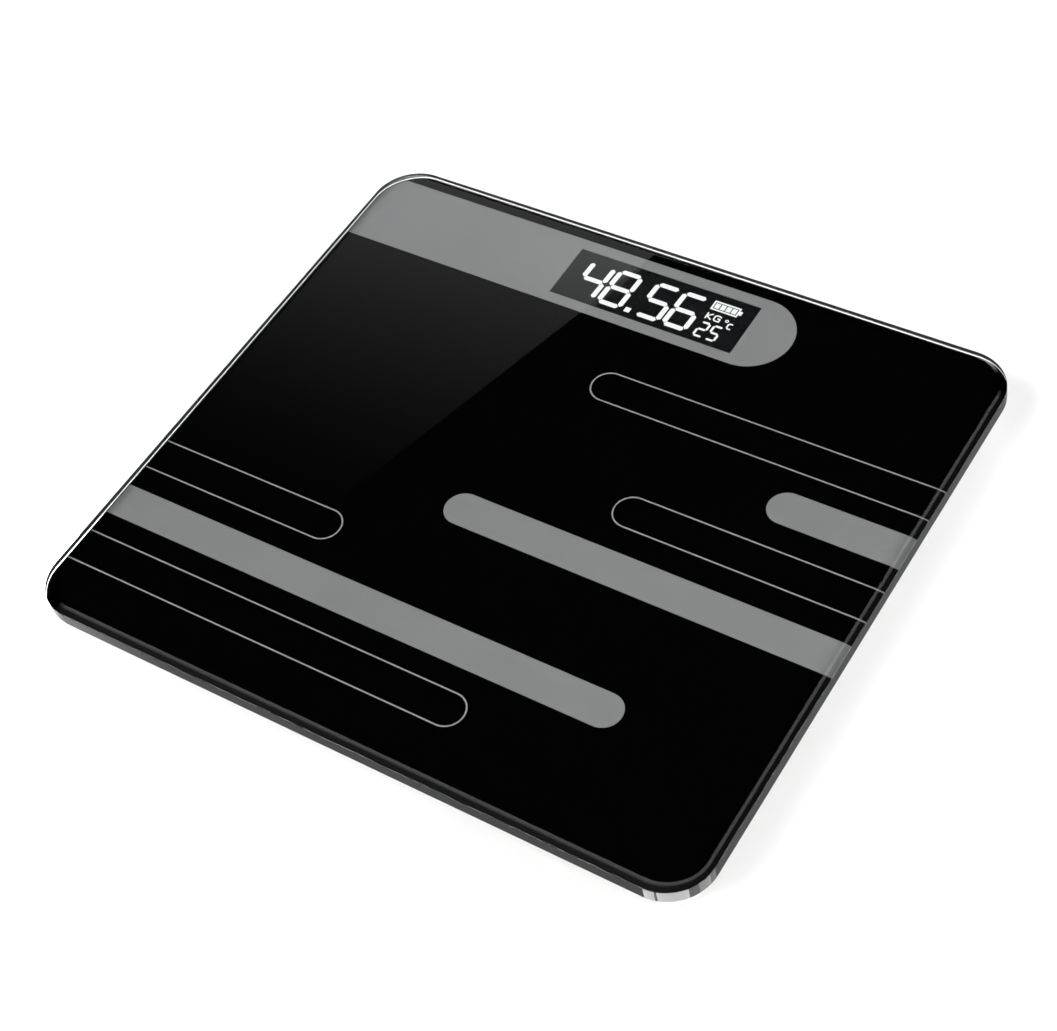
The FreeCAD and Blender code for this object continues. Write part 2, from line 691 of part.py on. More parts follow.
def board_components():
    """Chip capacitors and resistors, the converter chip and the crystal can."""
    low = BOARD_TOP
    pieces = [box(CONVERTER[0], CONVERTER[1], CONVERTER[2], CONVERTER[3], low, low + 1.5)]
    pieces.append(pill(CRYSTAL[0], CRYSTAL[1], CRYSTAL[2], CRYSTAL[3], low, low + 2.4))
    for step in range(5):
        x = CAPACITOR_ROW[0] + step * 4.0
        y = CAPACITOR_ROW[1]
        pieces.append(box(x, x + 2.0, y, y + 1.3, low, low + 0.7))
    for step in range(3):
        x = RESISTOR_ROW[0]
        y = RESISTOR_ROW[1] + step * 3.0
        pieces.append(box(x, x + 2.0, y, y + 1.3, low, low + 0.7))
    return Part.makeCompound(pieces)


def temperature_sensor():
    x, y = SENSOR_PLACE
    top = BOARD_TOP + SENSOR_H
    bead = Part.makeSphere(1.2, vec(x, y, top))
    legs = [rod(0.25, BOARD_TOP, top, x + side * 0.7, y) for side in (-1, 1)]
    return join([bead] + legs)


# ---- unit button ----
def unit_button():
    cap = rod(BUTTON_R, TRAY_BOTTOM, FLOOR_Z + 0.2, BUTTON_X, BUTTON_Y)
    lower_edge = [edge for edge in cap.Edges if edge.BoundBox.ZMax < TRAY_BOTTOM + 0.01]
    cap = cap.makeFillet(0.5, lower_edge)
    dish = Part.makeSphere(20.0, vec(BUTTON_X, BUTTON_Y, TRAY_BOTTOM + 0.35 - 20.0))
    flange = rod(BUTTON_R + 1.3, FLOOR_Z, FLOOR_Z + 0.5, BUTTON_X, BUTTON_Y)
    stem = rod(1.5, FLOOR_Z + 0.3, FLOOR_Z + 0.9, BUTTON_X, BUTTON_Y)
    return join([cap, flange, stem]).cut(dish)


def switch_plunger():
    return rod(1.65, FLOOR_Z + 0.9, FLOOR_Z + 2.3, BUTTON_X, BUTTON_Y)


def unit_switch():
    body = box(BUTTON_X - 3.0, BUTTON_X + 3.0, BUTTON_Y - 3.0, BUTTON_Y + 3.0, FLOOR_Z + 1.4, BOARD_Z)
    return body.cut(rod(1.73, FLOOR_Z + 1.4, FLOOR_Z + 2.3 + BUTTON_TRAVEL + 0.3, BUTTON_X, BUTTON_Y))


# ---- batteries ----
def battery_cell(direction, y):
    """Cylindrical cell with its raised end facing +X or -X, pressed against that end's contact."""
    contact_x = BAY_L / 2.0 - 0.5
    nub_l = 1.0
    can_end = contact_x - nub_l
    can_start = contact_x - BATTERY_L
    can = rod_x(BATTERY_R, can_start, can_end, y, BATTERY_Z)
    can = can.makeFillet(0.5, can.Edges)
    nub = rod_x(1.9, can_end - 0.2, contact_x, y, BATTERY_Z)
    cell = join([can, nub])
    if direction < 0:
        cell.rotate(vec(0, y, BATTERY_Z), vec(0, 0, 1), 180.0)
    return cell


def battery_spring(direction, y):
    """Coil spring between the flat end of a cell and the contact plate behind it."""
    contact_x = BAY_L / 2.0 - 0.5
    room = 2 * contact_x - BATTERY_L
    wire_r = 0.3
    coil_r = 3.0
    turns = 3
    height = room - 2 * wire_r - 0.1
    coil = Part.makeHelix(height / turns, height, coil_r)
    section = Part.Wire([Part.makeCircle(wire_r, vec(coil_r, 0, 0), vec(0, 1, 0))])
    spring = Part.Wire(coil).makePipeShell([section], True, True)
    spring.rotate(vec(0, 0, 0), vec(0, 1, 0), direction * 90.0)
    spring.translate(vec(-direction * (contact_x - wire_r - 0.05), y, BATTERY_Z))
    return spring


def link_contact():
    x = -BAY_L / 2.0
    reach = BATTERY_SPACING / 2.0 + 4.4
    return box(x, x + 0.5, BATTERY_Y - reach, BATTERY_Y + reach, BATTERY_Z - 4.2, BATTERY_Z + 4.2)


def terminal_contacts():
    plates = []
    x = BAY_L / 2.0
    for side in (-1, 1):
        y = BATTERY_Y + side * BATTERY_SPACING / 2.0
        plate = box(x - 0.5, x, y - 4.4, y + 4.4, BATTERY_Z - 4.2, BATTERY_Z + 4.2)
        tab = box(x - 0.1, x + 3.0, y - 1.3, y + 1.3, BATTERY_Z + 1.8, BATTERY_Z + 2.2)
        plates.append(join([plate, tab]))
    return Part.makeCompound(plates)


def battery_wires():
    """Supply wires from the two contact tabs down to the floor and up to the board."""
    wires = []
    for side in (-1, 1):
        y = BATTERY_Y + side * BATTERY_SPACING / 2.0
        tab_x = BAY_L / 2.0 + 2.3
        lane_x = 34.0 - side * WIRE_PITCH
        top_z = BATTERY_Z + 2.2 + WIRE_R
        points = [
            vec(tab_x, y, top_z),
            vec(lane_x, y, top_z),
            vec(lane_x, y + 5.0, WIRE_FLOOR_Z),
            vec(lane_x, 70.0, WIRE_FLOOR_Z),
            vec(lane_x, 70.0, BOARD_Z),
        ]
        wires.append(bent_wire(points, WIRE_R, WIRE_BEND))
    return Part.makeCompound(wires)


def battery_cover():
    """Flush cover that swings on two pins in its rounded edge, with grip ridges and two stops."""
    hinge_y, hinge_z = hinge_place()
    half_w = COVER_W / 2.0
    free_y = BATTERY_Y + COVER_D / 2.0
    plate = box(-half_w, half_w, hinge_y, free_y, TRAY_BOTTOM, TRAY_BOTTOM + COVER_T)
    rounded_edge = rod_x(COVER_T / 2.0, -half_w, half_w, hinge_y, hinge_z)
    pins = [
        rod_x(HINGE_PIN_R, half_w - 0.5, half_w + 1.4, hinge_y, hinge_z),
        rod_x(HINGE_PIN_R, -half_w - 1.4, -half_w + 0.5, hinge_y, hinge_z),
    ]
    grooves = []
    for step in range(5):
        y = free_y - 3.0 - step * 1.6
        grooves.append(box(-9.0 + step, 9.0 - step, y - 0.4, y + 0.4, TRAY_BOTTOM, TRAY_BOTTOM + 0.4))
    slits = []
    for side in (-1, 1):
        x = side * 12.0
        slits.append(box(x - 0.4, x + 0.4, free_y - 9.0, free_y, TRAY_BOTTOM, TRAY_BOTTOM + COVER_T))
    return join([plate, rounded_edge] + pins).cut(grooves + slits)


save("glass_platform", glass_platform())
save("grey_print", grey_print())
save("line_print", line_print())
save("black_print", black_print())
save("foam_gasket", foam_gasket())
save("base_tray", base_tray())
for corner, (side_x, side_y) in CORNERS.items():
    centre_x = side_x * FOOT_X
    centre_y = side_y * FOOT_Y
    save("foot_cup_" + corner, foot_cup(centre_x, centre_y))
    save("foot_pad_" + corner, foot_pad(centre_x, centre_y))
    save("load_cell_" + corner, load_cell(centre_x, centre_y))
    save("strain_gauge_" + corner, strain_gauge(centre_x, centre_y))
    save("cell_retainer_" + corner, cell_retainer(side_x, side_y))
    save("cell_wires_" + corner, cell_wires(side_x, side_y))
save("retainer_screws", retainer_screws())
save("display_frame", display_frame())
save("lcd_panel", lcd_panel())
save("lcd_segments", lcd_segments())
save("backlight_panel", backlight_panel())
save("zebra_strips", zebra_strips())
save("main_board", main_board())
save("board_screws", board_screws())
save("control_chip", control_chip())
save("board_components", board_components())
save("temperature_sensor", temperature_sensor())
save("unit_button", unit_button())
save("switch_plunger", switch_plunger())
save("unit_switch", unit_switch())
for number, direction, side in ((1, 1, -1), (2, -1, 1)):
    cell_y = BATTERY_Y + side * BATTERY_SPACING / 2.0
    save("battery_cell_" + str(number), battery_cell(direction, cell_y))
    save("battery_spring_" + str(number), battery_spring(direction, cell_y))
save("link_contact", link_contact())
save("terminal_contacts", terminal_contacts())
save("battery_wires", battery_wires())
save("battery_cover", battery_cover())
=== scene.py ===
import math

import bmesh
import bpy
from bpy.props import FloatProperty, FloatVectorProperty, IntProperty, PointerProperty
from mathutils import Matrix, Vector
from mathutils.bvhtree import BVHTree
from mathutils.geometry import delaunay_2d_cdt


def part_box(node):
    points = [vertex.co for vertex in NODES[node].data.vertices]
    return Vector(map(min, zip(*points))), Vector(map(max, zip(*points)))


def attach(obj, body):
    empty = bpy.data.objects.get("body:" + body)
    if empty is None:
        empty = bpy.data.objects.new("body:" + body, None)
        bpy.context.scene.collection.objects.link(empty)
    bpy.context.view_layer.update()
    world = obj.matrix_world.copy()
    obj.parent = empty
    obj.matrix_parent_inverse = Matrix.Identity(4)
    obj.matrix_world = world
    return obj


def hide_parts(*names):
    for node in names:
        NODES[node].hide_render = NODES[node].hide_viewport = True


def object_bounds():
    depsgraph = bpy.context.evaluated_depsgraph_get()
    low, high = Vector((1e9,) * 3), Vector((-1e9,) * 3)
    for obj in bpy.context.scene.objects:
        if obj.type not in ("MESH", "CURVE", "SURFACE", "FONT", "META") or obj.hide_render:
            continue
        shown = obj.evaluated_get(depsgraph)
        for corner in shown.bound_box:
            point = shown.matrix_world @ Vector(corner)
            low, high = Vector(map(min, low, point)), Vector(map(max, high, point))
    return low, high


bl_info = {
    "name": "Glass Bathroom Scale",
    "version": (1, 0, 0),
    "blender": (4, 5, 0),
    "location": "View3D > Sidebar > Scale",
    "description": "Builds a bathroom scale's printed glass, moulded underside and studio",
    "category": "Object",
}

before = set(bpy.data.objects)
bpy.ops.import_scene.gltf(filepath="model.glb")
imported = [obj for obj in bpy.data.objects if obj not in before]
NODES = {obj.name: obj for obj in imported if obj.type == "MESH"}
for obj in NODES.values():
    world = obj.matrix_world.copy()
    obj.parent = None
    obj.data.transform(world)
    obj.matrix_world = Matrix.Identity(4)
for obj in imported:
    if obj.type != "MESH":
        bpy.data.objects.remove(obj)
CAD_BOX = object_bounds()
CORNERS = ("front_left", "front_right", "rear_left", "rear_right")

# order of the glass plate's materials, as its faces number them
CLEAR, BLACK, GREY, LINE, GROUND_EDGE = range(5)
PRINT_CLEARANCE = 0.00002    # between the glass and the ink coats of the CAD, in metres
UPRIGHT_SHARE = 3.0          # a face is part of the upright side when it rises this many bevel heights
POLISHED_TURN = 0.1          # how far both ways the front right corner's faces must point

PAD_GROOVE_RADII = (0.0045, 0.008, 0.0115)
PAD_GROOVE_DEPTH = 0.0005
STUD_BURY = 0.0001           # how far a stud's root sinks into the groove's floor
STUD_TAPER = 0.72
STUD_SIDES = 10
COIL_RESOLUTION = 28
WIRE_SIDES = 10
CELL_NUMBERS = (1, 2)

FLOOR_HALF = 12.0
KEY_BOX = (-25.0, 48.0, 2.2, 1.5, 1.1, 50.0)     # azimuth, height angle, distance, width, height, power
FILL_BOX = (105.0, 44.0, 2.4, 1.4, 1.1, 50.0)
LAMP_AIM_Z = 0.02
SURROUND = ((7.0, 1.0), (15.0, 0.25), (39.0, 0.0))    # height angle in degrees, brightness

# light cards: distances in metres, turns and slopes in degrees
CARD_DISTANCE = 1.7
CARD_STEPS = 12
CARD_FADE = 6
WALL_SHOWN = ((-0.178, 0.160), (0.0018, 0.175), (-0.0640, -0.058), (-0.178, -0.058))
WALL_GLOW = (1.0, 1.0, 0.0, 0.0)
WALL_GLOW_POWER = 2.15
EDGE_STEPS = 30
EDGE_SPACING = 0.02
NEAR_TURNS = (252.0, 376.0)
FAR_TURNS = (45.0, 200.0)
# slopes of the edge with the glow that each mirrors
NEAR_BANDS = ((4.0, 0.0), (5.5, 1.6), (8.5, 1.5), (11.0, 0.65), (13.0, 0.22), (19.0, 0.22))
RIGHT_BANDS = ((7.0, 0.0), (9.0, 1.4), (12.0, 1.4), (13.5, 0.3), (14.5, 0.1), (19.0, 0.1))
FAR_BANDS = ((6.0, 0.5), (8.5, 4.5), (12.5, 4.5), (13.5, 0.0))
LEFT_BANDS = ((6.0, 0.2), (8.5, 0.8), (12.5, 0.8), (13.5, 0.0))
# bright floor patches: first and last turn and glow
FLOOR_CARD_Z = 0.0005
CORNER_GLINTS = ((273.0, 285.0, 4.8), (288.0, 322.0, 5.6), (331.0, 350.0, 2.3))
PATCH_TURNS = (215.0, 273.0)
PATCH_LEVELS = (0.008, 0.05)
PATCH_END_X = -0.045
PATCH_GLOW = 4.2
PATCH_BASE_GLOW = 0.9


# ---------------------------------------------------------------- settings
def colour_property(name, description, default):
    """Linear colour setting."""
    return FloatVectorProperty(
        name=name, description=description, default=default, subtype="COLOR", size=3, min=0.0, max=1.0
    )


def length_property(name, description, default):
    """Length setting in metres."""
    return FloatProperty(name=name, description=description, default=default, unit="LENGTH", precision=5)


class GlassSettings(bpy.types.PropertyGroup):
    corner: length_property("Corner radius", "Radius of the plate's corners seen from above", 0.018)
    bevel_width: length_property("Bevel width", "How far the polished bevel reaches in from the side", 0.003)
    bevel_height: length_property("Bevel height", "How far the bevel drops to the side", 0.0008)
    bevel_round: length_property("Bevel rounding", "Radius where the bevel runs into the top face", 0.012)
    rim_round: length_property("Rim rounding", "Radius where the bevel runs into the side", 0.0003)
    arris: length_property("Arris", "Width of the small chamfer round the bottom face", 0.0003)
    corner_steps: IntProperty(name="Corner steps", description="Facets round each corner", default=28, min=6)
    tint: colour_property("Tint", "Colour of the glass", (0.955, 0.985, 0.975))
    edge: colour_property("Ground edge", "Colour of the satin-ground sides", (0.009, 0.012, 0.0105))


class PrintSettings(bpy.types.PropertyGroup):
    grey: colour_property("Grey ink", "Colour of the display band and the solid bars", (0.132, 0.132, 0.134))
    line: colour_property("Line ink", "Colour of the outlined bars", (0.175, 0.175, 0.179))
    black: colour_property("Black ink", "Colour of the backing print", (0.0005, 0.0005, 0.0006))
    lit: colour_property("Lit segments", "Colour of the display's figures", (1.0, 1.0, 1.0))
    lit_strength: FloatProperty(name="Display glow", description="Brightness of the figures",
                                default=1.05, min=0.0)


class BodySettings(bpy.types.PropertyGroup):
    shell: colour_property("Shell", "Colour of the moulded tray and cover", (0.78, 0.78, 0.765))
    foot: colour_property("Foot cups", "Colour of the moulded foot cups", (0.72, 0.72, 0.705))
    pad: colour_property("Foot pads", "Colour of the rubber pads", (0.045, 0.046, 0.048))
    button: colour_property("Button", "Colour of the unit button", (0.16, 0.165, 0.17))
    board: colour_property("Circuit board", "Colour of the solder mask", (0.015, 0.11, 0.045))


class PadSettings(bpy.types.PropertyGroup):
    stud_radius: length_property("Stud radius", "Radius of one grip stud under a foot pad", 0.00042)
    stud_height: length_property("Stud height", "Height of one grip stud", 0.00045)
    spacing: length_property("Stud spacing", "Distance between studs along their ring", 0.0018)


class SpringSettings(bpy.types.PropertyGroup):
    wire: length_property("Wire radius", "Radius of the battery spring's wire", 0.00028)
    turns: FloatProperty(name="Turns", description="Turns of the battery spring", default=4.5, min=1.0)
    base_radius: length_property("Base radius", "Coil radius at the contact plate", 0.0033)
    tip_radius: length_property("Tip radius", "Coil radius at the cell", 0.002)


class StudioSettings(bpy.types.PropertyGroup):
    azimuth: FloatProperty(name="Azimuth", description="Camera turn about the vertical",
                           default=math.radians(42.523), subtype="ANGLE")
    elevation: FloatProperty(name="Elevation", description="Camera angle above the floor",
                             default=math.radians(50.471), subtype="ANGLE")
    roll: FloatProperty(name="Roll", description="Camera turn about its own axis",
                        default=math.radians(-13.571), subtype="ANGLE")
    distance: length_property("Distance", "From the plate to the camera", 0.8099)
    slide_right: length_property("Slide right", "Camera moved sideways across its view", 0.00085)
    slide_up: length_property("Slide up", "Camera moved upwards across its view", -0.00807)
    lens: FloatProperty(name="Lens", description="Focal length", default=74.82, subtype="DISTANCE_CAMERA")


# ---------------------------------------------------------------- shared mesh helpers
def object_from(name, mesh):
    """New object in the scene, at the origin."""
    piece = bpy.data.objects.new(name, mesh)
    bpy.context.scene.collection.objects.link(piece)
    return piece


def plain_mesh(piece):
    """Replaces the piece's mesh with its evaluated one and drops the modifiers."""
    evaluated = piece.evaluated_get(bpy.context.evaluated_depsgraph_get())
    finished = bpy.data.meshes.new_from_object(evaluated)
    piece.modifiers.clear()
    piece.data = finished
    return piece


def edge_key(point):
    """Flat place of a point, rounded so that shared corners match."""
    return (round(point.x, 7), round(point.y, 7))


def top_outline(node_name):
    """Boundary edges of a flat CAD node's upper face, as pairs of flat points."""
    mesh = NODES[node_name].data
    level = max(vertex.co.z for vertex in mesh.vertices)
    tally = {}
    for face in mesh.polygons:
        corners = [mesh.vertices[index].co for index in face.vertices]
        if min(corner.z for corner in corners) < level - 1e-6:
            continue
        for start, end in zip(corners, corners[1:] + corners[:1]):
            key = frozenset((edge_key(start), edge_key(end)))
            tally[key] = tally.get(key, 0) + 1
    return [tuple(key) for key, count in tally.items() if count == 1 and len(key) == 2]


def node_tree_of(node_name):
    """Search tree over a CAD node's mesh."""
    mesh = NODES[node_name].data
    points = [vertex.co.copy() for vertex in mesh.vertices]
    faces = [tuple(face.vertices) for face in mesh.polygons]
    return BVHTree.FromPolygons(points, faces)


# ---------------------------------------------------------------- shared material helpers
def blank_material(name):
    """New material with one Principled shader, given with its tree and shader."""
    material = bpy.data.materials.new(name)
    material.use_nodes = True
    tree = material.node_tree
    tree.nodes.clear()
    shader = tree.nodes.new("ShaderNodeBsdfPrincipled")
    output = tree.nodes.new("ShaderNodeOutputMaterial")
    tree.links.new(shader.outputs["BSDF"], output.inputs["Surface"])
    return material, tree, shader


def object_noise(tree, scale, detail=3.0, distortion=0.0):
    """Noise over the piece's own coordinates, scale in features per metre."""
    place = tree.nodes.new("ShaderNodeTexCoord")
    noise = tree.nodes.new("ShaderNodeTexNoise")
    noise.inputs["Scale"].default_value = scale
    noise.inputs["Detail"].default_value = detail
    noise.inputs["Distortion"].default_value = distortion
    tree.links.new(place.outputs["Object"], noise.inputs["Vector"])
    return noise.outputs["Fac"]


def spread(tree, source, low, high, start=0.3, stop=0.7):
    """The source's usual range stretched between two values."""
    mapper = tree.nodes.new("ShaderNodeMapRange")
    mapper.inputs["From Min"].default_value = start
    mapper.inputs["From Max"].default_value = stop
    mapper.inputs["To Min"].default_value = low
    mapper.inputs["To Max"].default_value = high
    tree.links.new(source, mapper.inputs["Value"])
    return mapper.outputs["Result"]


def colour_between(tree, source, dark, light):
    """Colour that runs from dark to light over the source's usual range."""
    ramp = tree.nodes.new("ShaderNodeValToRGB")
    ramp.color_ramp.elements[0].position = 0.3
    ramp.color_ramp.elements[0].color = (*dark, 1.0)
    ramp.color_ramp.elements[1].position = 0.7
    ramp.color_ramp.elements[1].color = (*light, 1.0)
    tree.links.new(source, ramp.inputs["Fac"])
    return ramp.outputs["Color"]


def scaled(colour, factor):
    """The colour made lighter or darker, up to white."""
    return tuple(min(1.0, channel * factor) for channel in colour)


def add_bump(tree, shader, height, distance, strength=1.0):
    """Surface relief from the height, its depth in metres."""
    bump = tree.nodes.new("ShaderNodeBump")
    bump.inputs["Distance"].default_value = distance
    bump.inputs["Strength"].default_value = strength
    tree.links.new(height, bump.inputs["Height"])
    tree.links.new(bump.outputs["Normal"], shader.inputs["Normal"])


def moulded_material(name, colour, roughness=0.42, grain=2600.0, depth=0.00003, mottle=0.02):
    """Moulded plastic: spark-eroded grain, faint mottling and flow variation in the gloss."""
    material, tree, shader = blank_material(name)
    mottling = object_noise(tree, 38.0, 4.0)
    base = colour_between(tree, mottling, scaled(colour, 1.0 - mottle), scaled(colour, 1.0 + mottle))
    tree.links.new(base, shader.inputs["Base Color"])
    rough = spread(tree, object_noise(tree, 240.0, 3.0), roughness - 0.06, roughness + 0.08)
    tree.links.new(rough, shader.inputs["Roughness"])
    add_bump(tree, shader, object_noise(tree, grain, 2.0), depth, 0.6)
    return material


def rubber_material(name, colour):
    """Matt rubber or foam with a fine speckle."""
    material, tree, shader = blank_material(name)
    speckle = object_noise(tree, 900.0, 5.0)
    base = colour_between(tree, speckle, scaled(colour, 0.75), scaled(colour, 1.3))
    tree.links.new(base, shader.inputs["Base Color"])
    rough = spread(tree, object_noise(tree, 300.0), 0.68, 0.86)
    tree.links.new(rough, shader.inputs["Roughness"])
    shader.inputs["Specular IOR Level"].default_value = 0.35
    add_bump(tree, shader, speckle, 0.00006, 0.7)
    return material


def metal_material(name, colour, roughness, brush=(1.0, 1.0, 1.0), depth=0.00001):
    """Metal with a direction to its scratches, given as how much each axis squeezes the noise."""
    material, tree, shader = blank_material(name)
    place = tree.nodes.new("ShaderNodeTexCoord")
    mapping = tree.nodes.new("ShaderNodeMapping")
    mapping.inputs["Scale"].default_value = brush
    noise = tree.nodes.new("ShaderNodeTexNoise")
    noise.inputs["Scale"].default_value = 900.0
    noise.inputs["Detail"].default_value = 4.0
    tree.links.new(place.outputs["Object"], mapping.inputs["Vector"])
    tree.links.new(mapping.outputs["Vector"], noise.inputs["Vector"])
    fibres = noise.outputs["Fac"]
    base = colour_between(tree, fibres, scaled(colour, 0.88), scaled(colour, 1.06))
    tree.links.new(base, shader.inputs["Base Color"])
    tree.links.new(spread(tree, fibres, roughness - 0.07, roughness + 0.1), shader.inputs["Roughness"])
    shader.inputs["Metallic"].default_value = 1.0
    add_bump(tree, shader, fibres, depth, 0.5)
    return material


def ink_material(name, colour, mottle=0.03, roughness=0.6, sheen=0.0):
    """Screen ink, with the faint mesh grain and density changes of a printed coat."""
    material, tree, shader = blank_material(name)
    density = object_noise(tree, 22.0, 3.0)
    base = colour_between(tree, density, scaled(colour, 1.0 - mottle), scaled(colour, 1.0 + mottle))
    tree.links.new(base, shader.inputs["Base Color"])
    rough = spread(tree, object_noise(tree, 1500.0), roughness - 0.05, roughness + 0.05)
    tree.links.new(rough, shader.inputs["Roughness"])
    shader.inputs["Specular IOR Level"].default_value = sheen
    return material


def glass_material(name, tint):
    """Clear polished glass that lets lamps reach what is behind it."""
    material, tree, shader = blank_material(name)
    streaks = object_noise(tree, 6.0, 2.0)
    base = colour_between(tree, streaks, scaled(tint, 0.985), tint)
    tree.links.new(base, shader.inputs["Base Color"])
    tree.links.new(spread(tree, object_noise(tree, 60.0, 4.0), 0.0, 0.012), shader.inputs["Roughness"])
    shader.inputs["IOR"].default_value = 1.5
    shader.inputs["Transmission Weight"].default_value = 1.0
    output = tree.nodes["Material Output"]
    open_way = tree.nodes.new("ShaderNodeBsdfTransparent")
    mixer = tree.nodes.new("ShaderNodeMixShader")
    path = tree.nodes.new("ShaderNodeLightPath")
    tree.links.new(path.outputs["Is Shadow Ray"], mixer.inputs["Fac"])
    tree.links.new(shader.outputs["BSDF"], mixer.inputs[1])
    tree.links.new(open_way.outputs["BSDF"], mixer.inputs[2])
    tree.links.new(mixer.outputs["Shader"], output.inputs["Surface"])
    return material


def glowing_material(name, colour, strength):
    """Lit display segment: even white light with the faint grain of its diffuser."""
    material, tree, shader = blank_material(name)
    shader.inputs["Base Color"].default_value = (0.02, 0.02, 0.02, 1.0)
    shader.inputs["Roughness"].default_value = 0.6
    shader.inputs["Specular IOR Level"].default_value = 0.0
    grain = object_noise(tree, 700.0, 2.0)
    tree.links.new(colour_between(tree, grain, scaled(colour, 0.97), colour), shader.inputs["Emission Color"])
    shader.inputs["Emission Strength"].default_value = strength
    return material


def dress(node_names, material):
    """Gives CAD nodes one material."""
    for node_name in node_names:
        node = NODES[node_name]
        node.data.materials.clear()
        node.data.materials.append(material)


# ---------------------------------------------------------------- the glass platform
def fillet_points(before, corner, after, radius, steps):
    """Points of the arc that rounds a corner between two straight lines."""
    into = (before - corner).normalized()
    out = (after - corner).normalized()
    half_angle = into.angle(out) / 2.0
    reach = radius / math.tan(half_angle)
    middle = (into + out).normalized()
    centre = corner + middle * (radius / math.sin(half_angle))
    first = corner + into * reach - centre
    last = corner + out * reach - centre
    total = first.angle(last)
    points = []
    for step in range(steps + 1):
        share = step / steps
        left = math.sin((1.0 - share) * total)
        right = math.sin(share * total)
        points.append(centre + (first * left + last * right) / math.sin(total))
    return points


def glass_profile(settings, bottom, top):
    """The edge's section, as distance in from the side and height, from the bottom face to the top."""
    start = Vector((settings.arris, bottom))
    low_side = Vector((0.0, bottom + settings.arris))
    high_side = Vector((0.0, top - settings.bevel_height))
    bevel_end = Vector((settings.bevel_width, top))
    inner = Vector((settings.bevel_width * 2.0, top))
    profile = [start]
    profile += fillet_points(start, low_side, high_side, settings.arris * 0.5, 3)
    profile += fillet_points(low_side, high_side, bevel_end, settings.rim_round, 6)
    profile += fillet_points(high_side, bevel_end, inner, settings.bevel_round, 12)
    return profile


def plate_ring(settings, low, high):
    """Points round the plate's outline with the outward direction at each."""
    radius = settings.corner
    centre = (low + high) / 2.0
    half = (high - low) / 2.0
    ring = []
    for quarter, (sign_x, sign_y) in enumerate(((1, 1), (-1, 1), (-1, -1), (1, -1))):
        corner = Vector((centre.x + sign_x * (half.x - radius), centre.y + sign_y * (half.y - radius)))
        for step in range(settings.corner_steps + 1):
            angle = math.radians(90.0) * (quarter + step / settings.corner_steps)
            outward = Vector((math.cos(angle), math.sin(angle)))
            ring.append((corner + outward * radius, outward))
    return ring


def artwork_window():
    """Outline of the display's window in the black print, as pairs of flat points."""
    low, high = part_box("lcd_panel")
    lines = top_outline("black_print")
    return [line for line in lines if all(low.x < x < high.x and low.y < y < high.y for x, y in line)]


def artwork_lines():
    """Every outline that divides the printed underside of the glass, as pairs of flat points."""
    return top_outline("grey_print") + top_outline("line_print") + artwork_window()


def ink_finder():
    """A function that says which coat lies under a flat point."""
    searches = [(node_tree_of("grey_print"), GREY), (node_tree_of("line_print"), LINE)]
    window = [point for line in artwork_window() for point in line]
    low_x = min(x for x, _ in window)
    high_x = max(x for x, _ in window)
    low_y = min(y for _, y in window)
    high_y = max(y for _, y in window)
    above = CAD_BOX[1].z

    def coat_at(x, y):
        if low_x < x < high_x and low_y < y < high_y:
            return CLEAR
        for search, coat in searches:
            if search.ray_cast(Vector((x, y, above)), Vector((0.0, 0.0, -1.0)))[0] is not None:
                return coat
        return BLACK

    return coat_at


def printed_floor(mesh, ring_points, level):
    """Fills the ring with faces divided along the artwork, each with its coat as material."""
    points = [Vector(point) for point in ring_points]
    edges = [(index, (index + 1) % len(points)) for index in range(len(points))]
    found = {}
    for line in artwork_lines():
        ends = []
        for place in line:
            if place not in found:
                found[place] = len(points)
                points.append(Vector(place))
            ends.append(found[place])
        edges.append(tuple(ends))
    flat, _, triangles, _, _, _ = delaunay_2d_cdt(points, edges, [], 1, 1e-7)
    coat_at = ink_finder()
    corners = [mesh.verts.new((point.x, point.y, level)) for point in flat]
    for triangle in triangles:
        middle = sum((flat[index] for index in triangle), Vector((0.0, 0.0))) / 3.0
        face = mesh.faces.new([corners[index] for index in reversed(triangle)])
        face.material_index = coat_at(middle.x, middle.y)
        face.normal_update()
        if face.normal.z > 0:
            face.normal_flip()


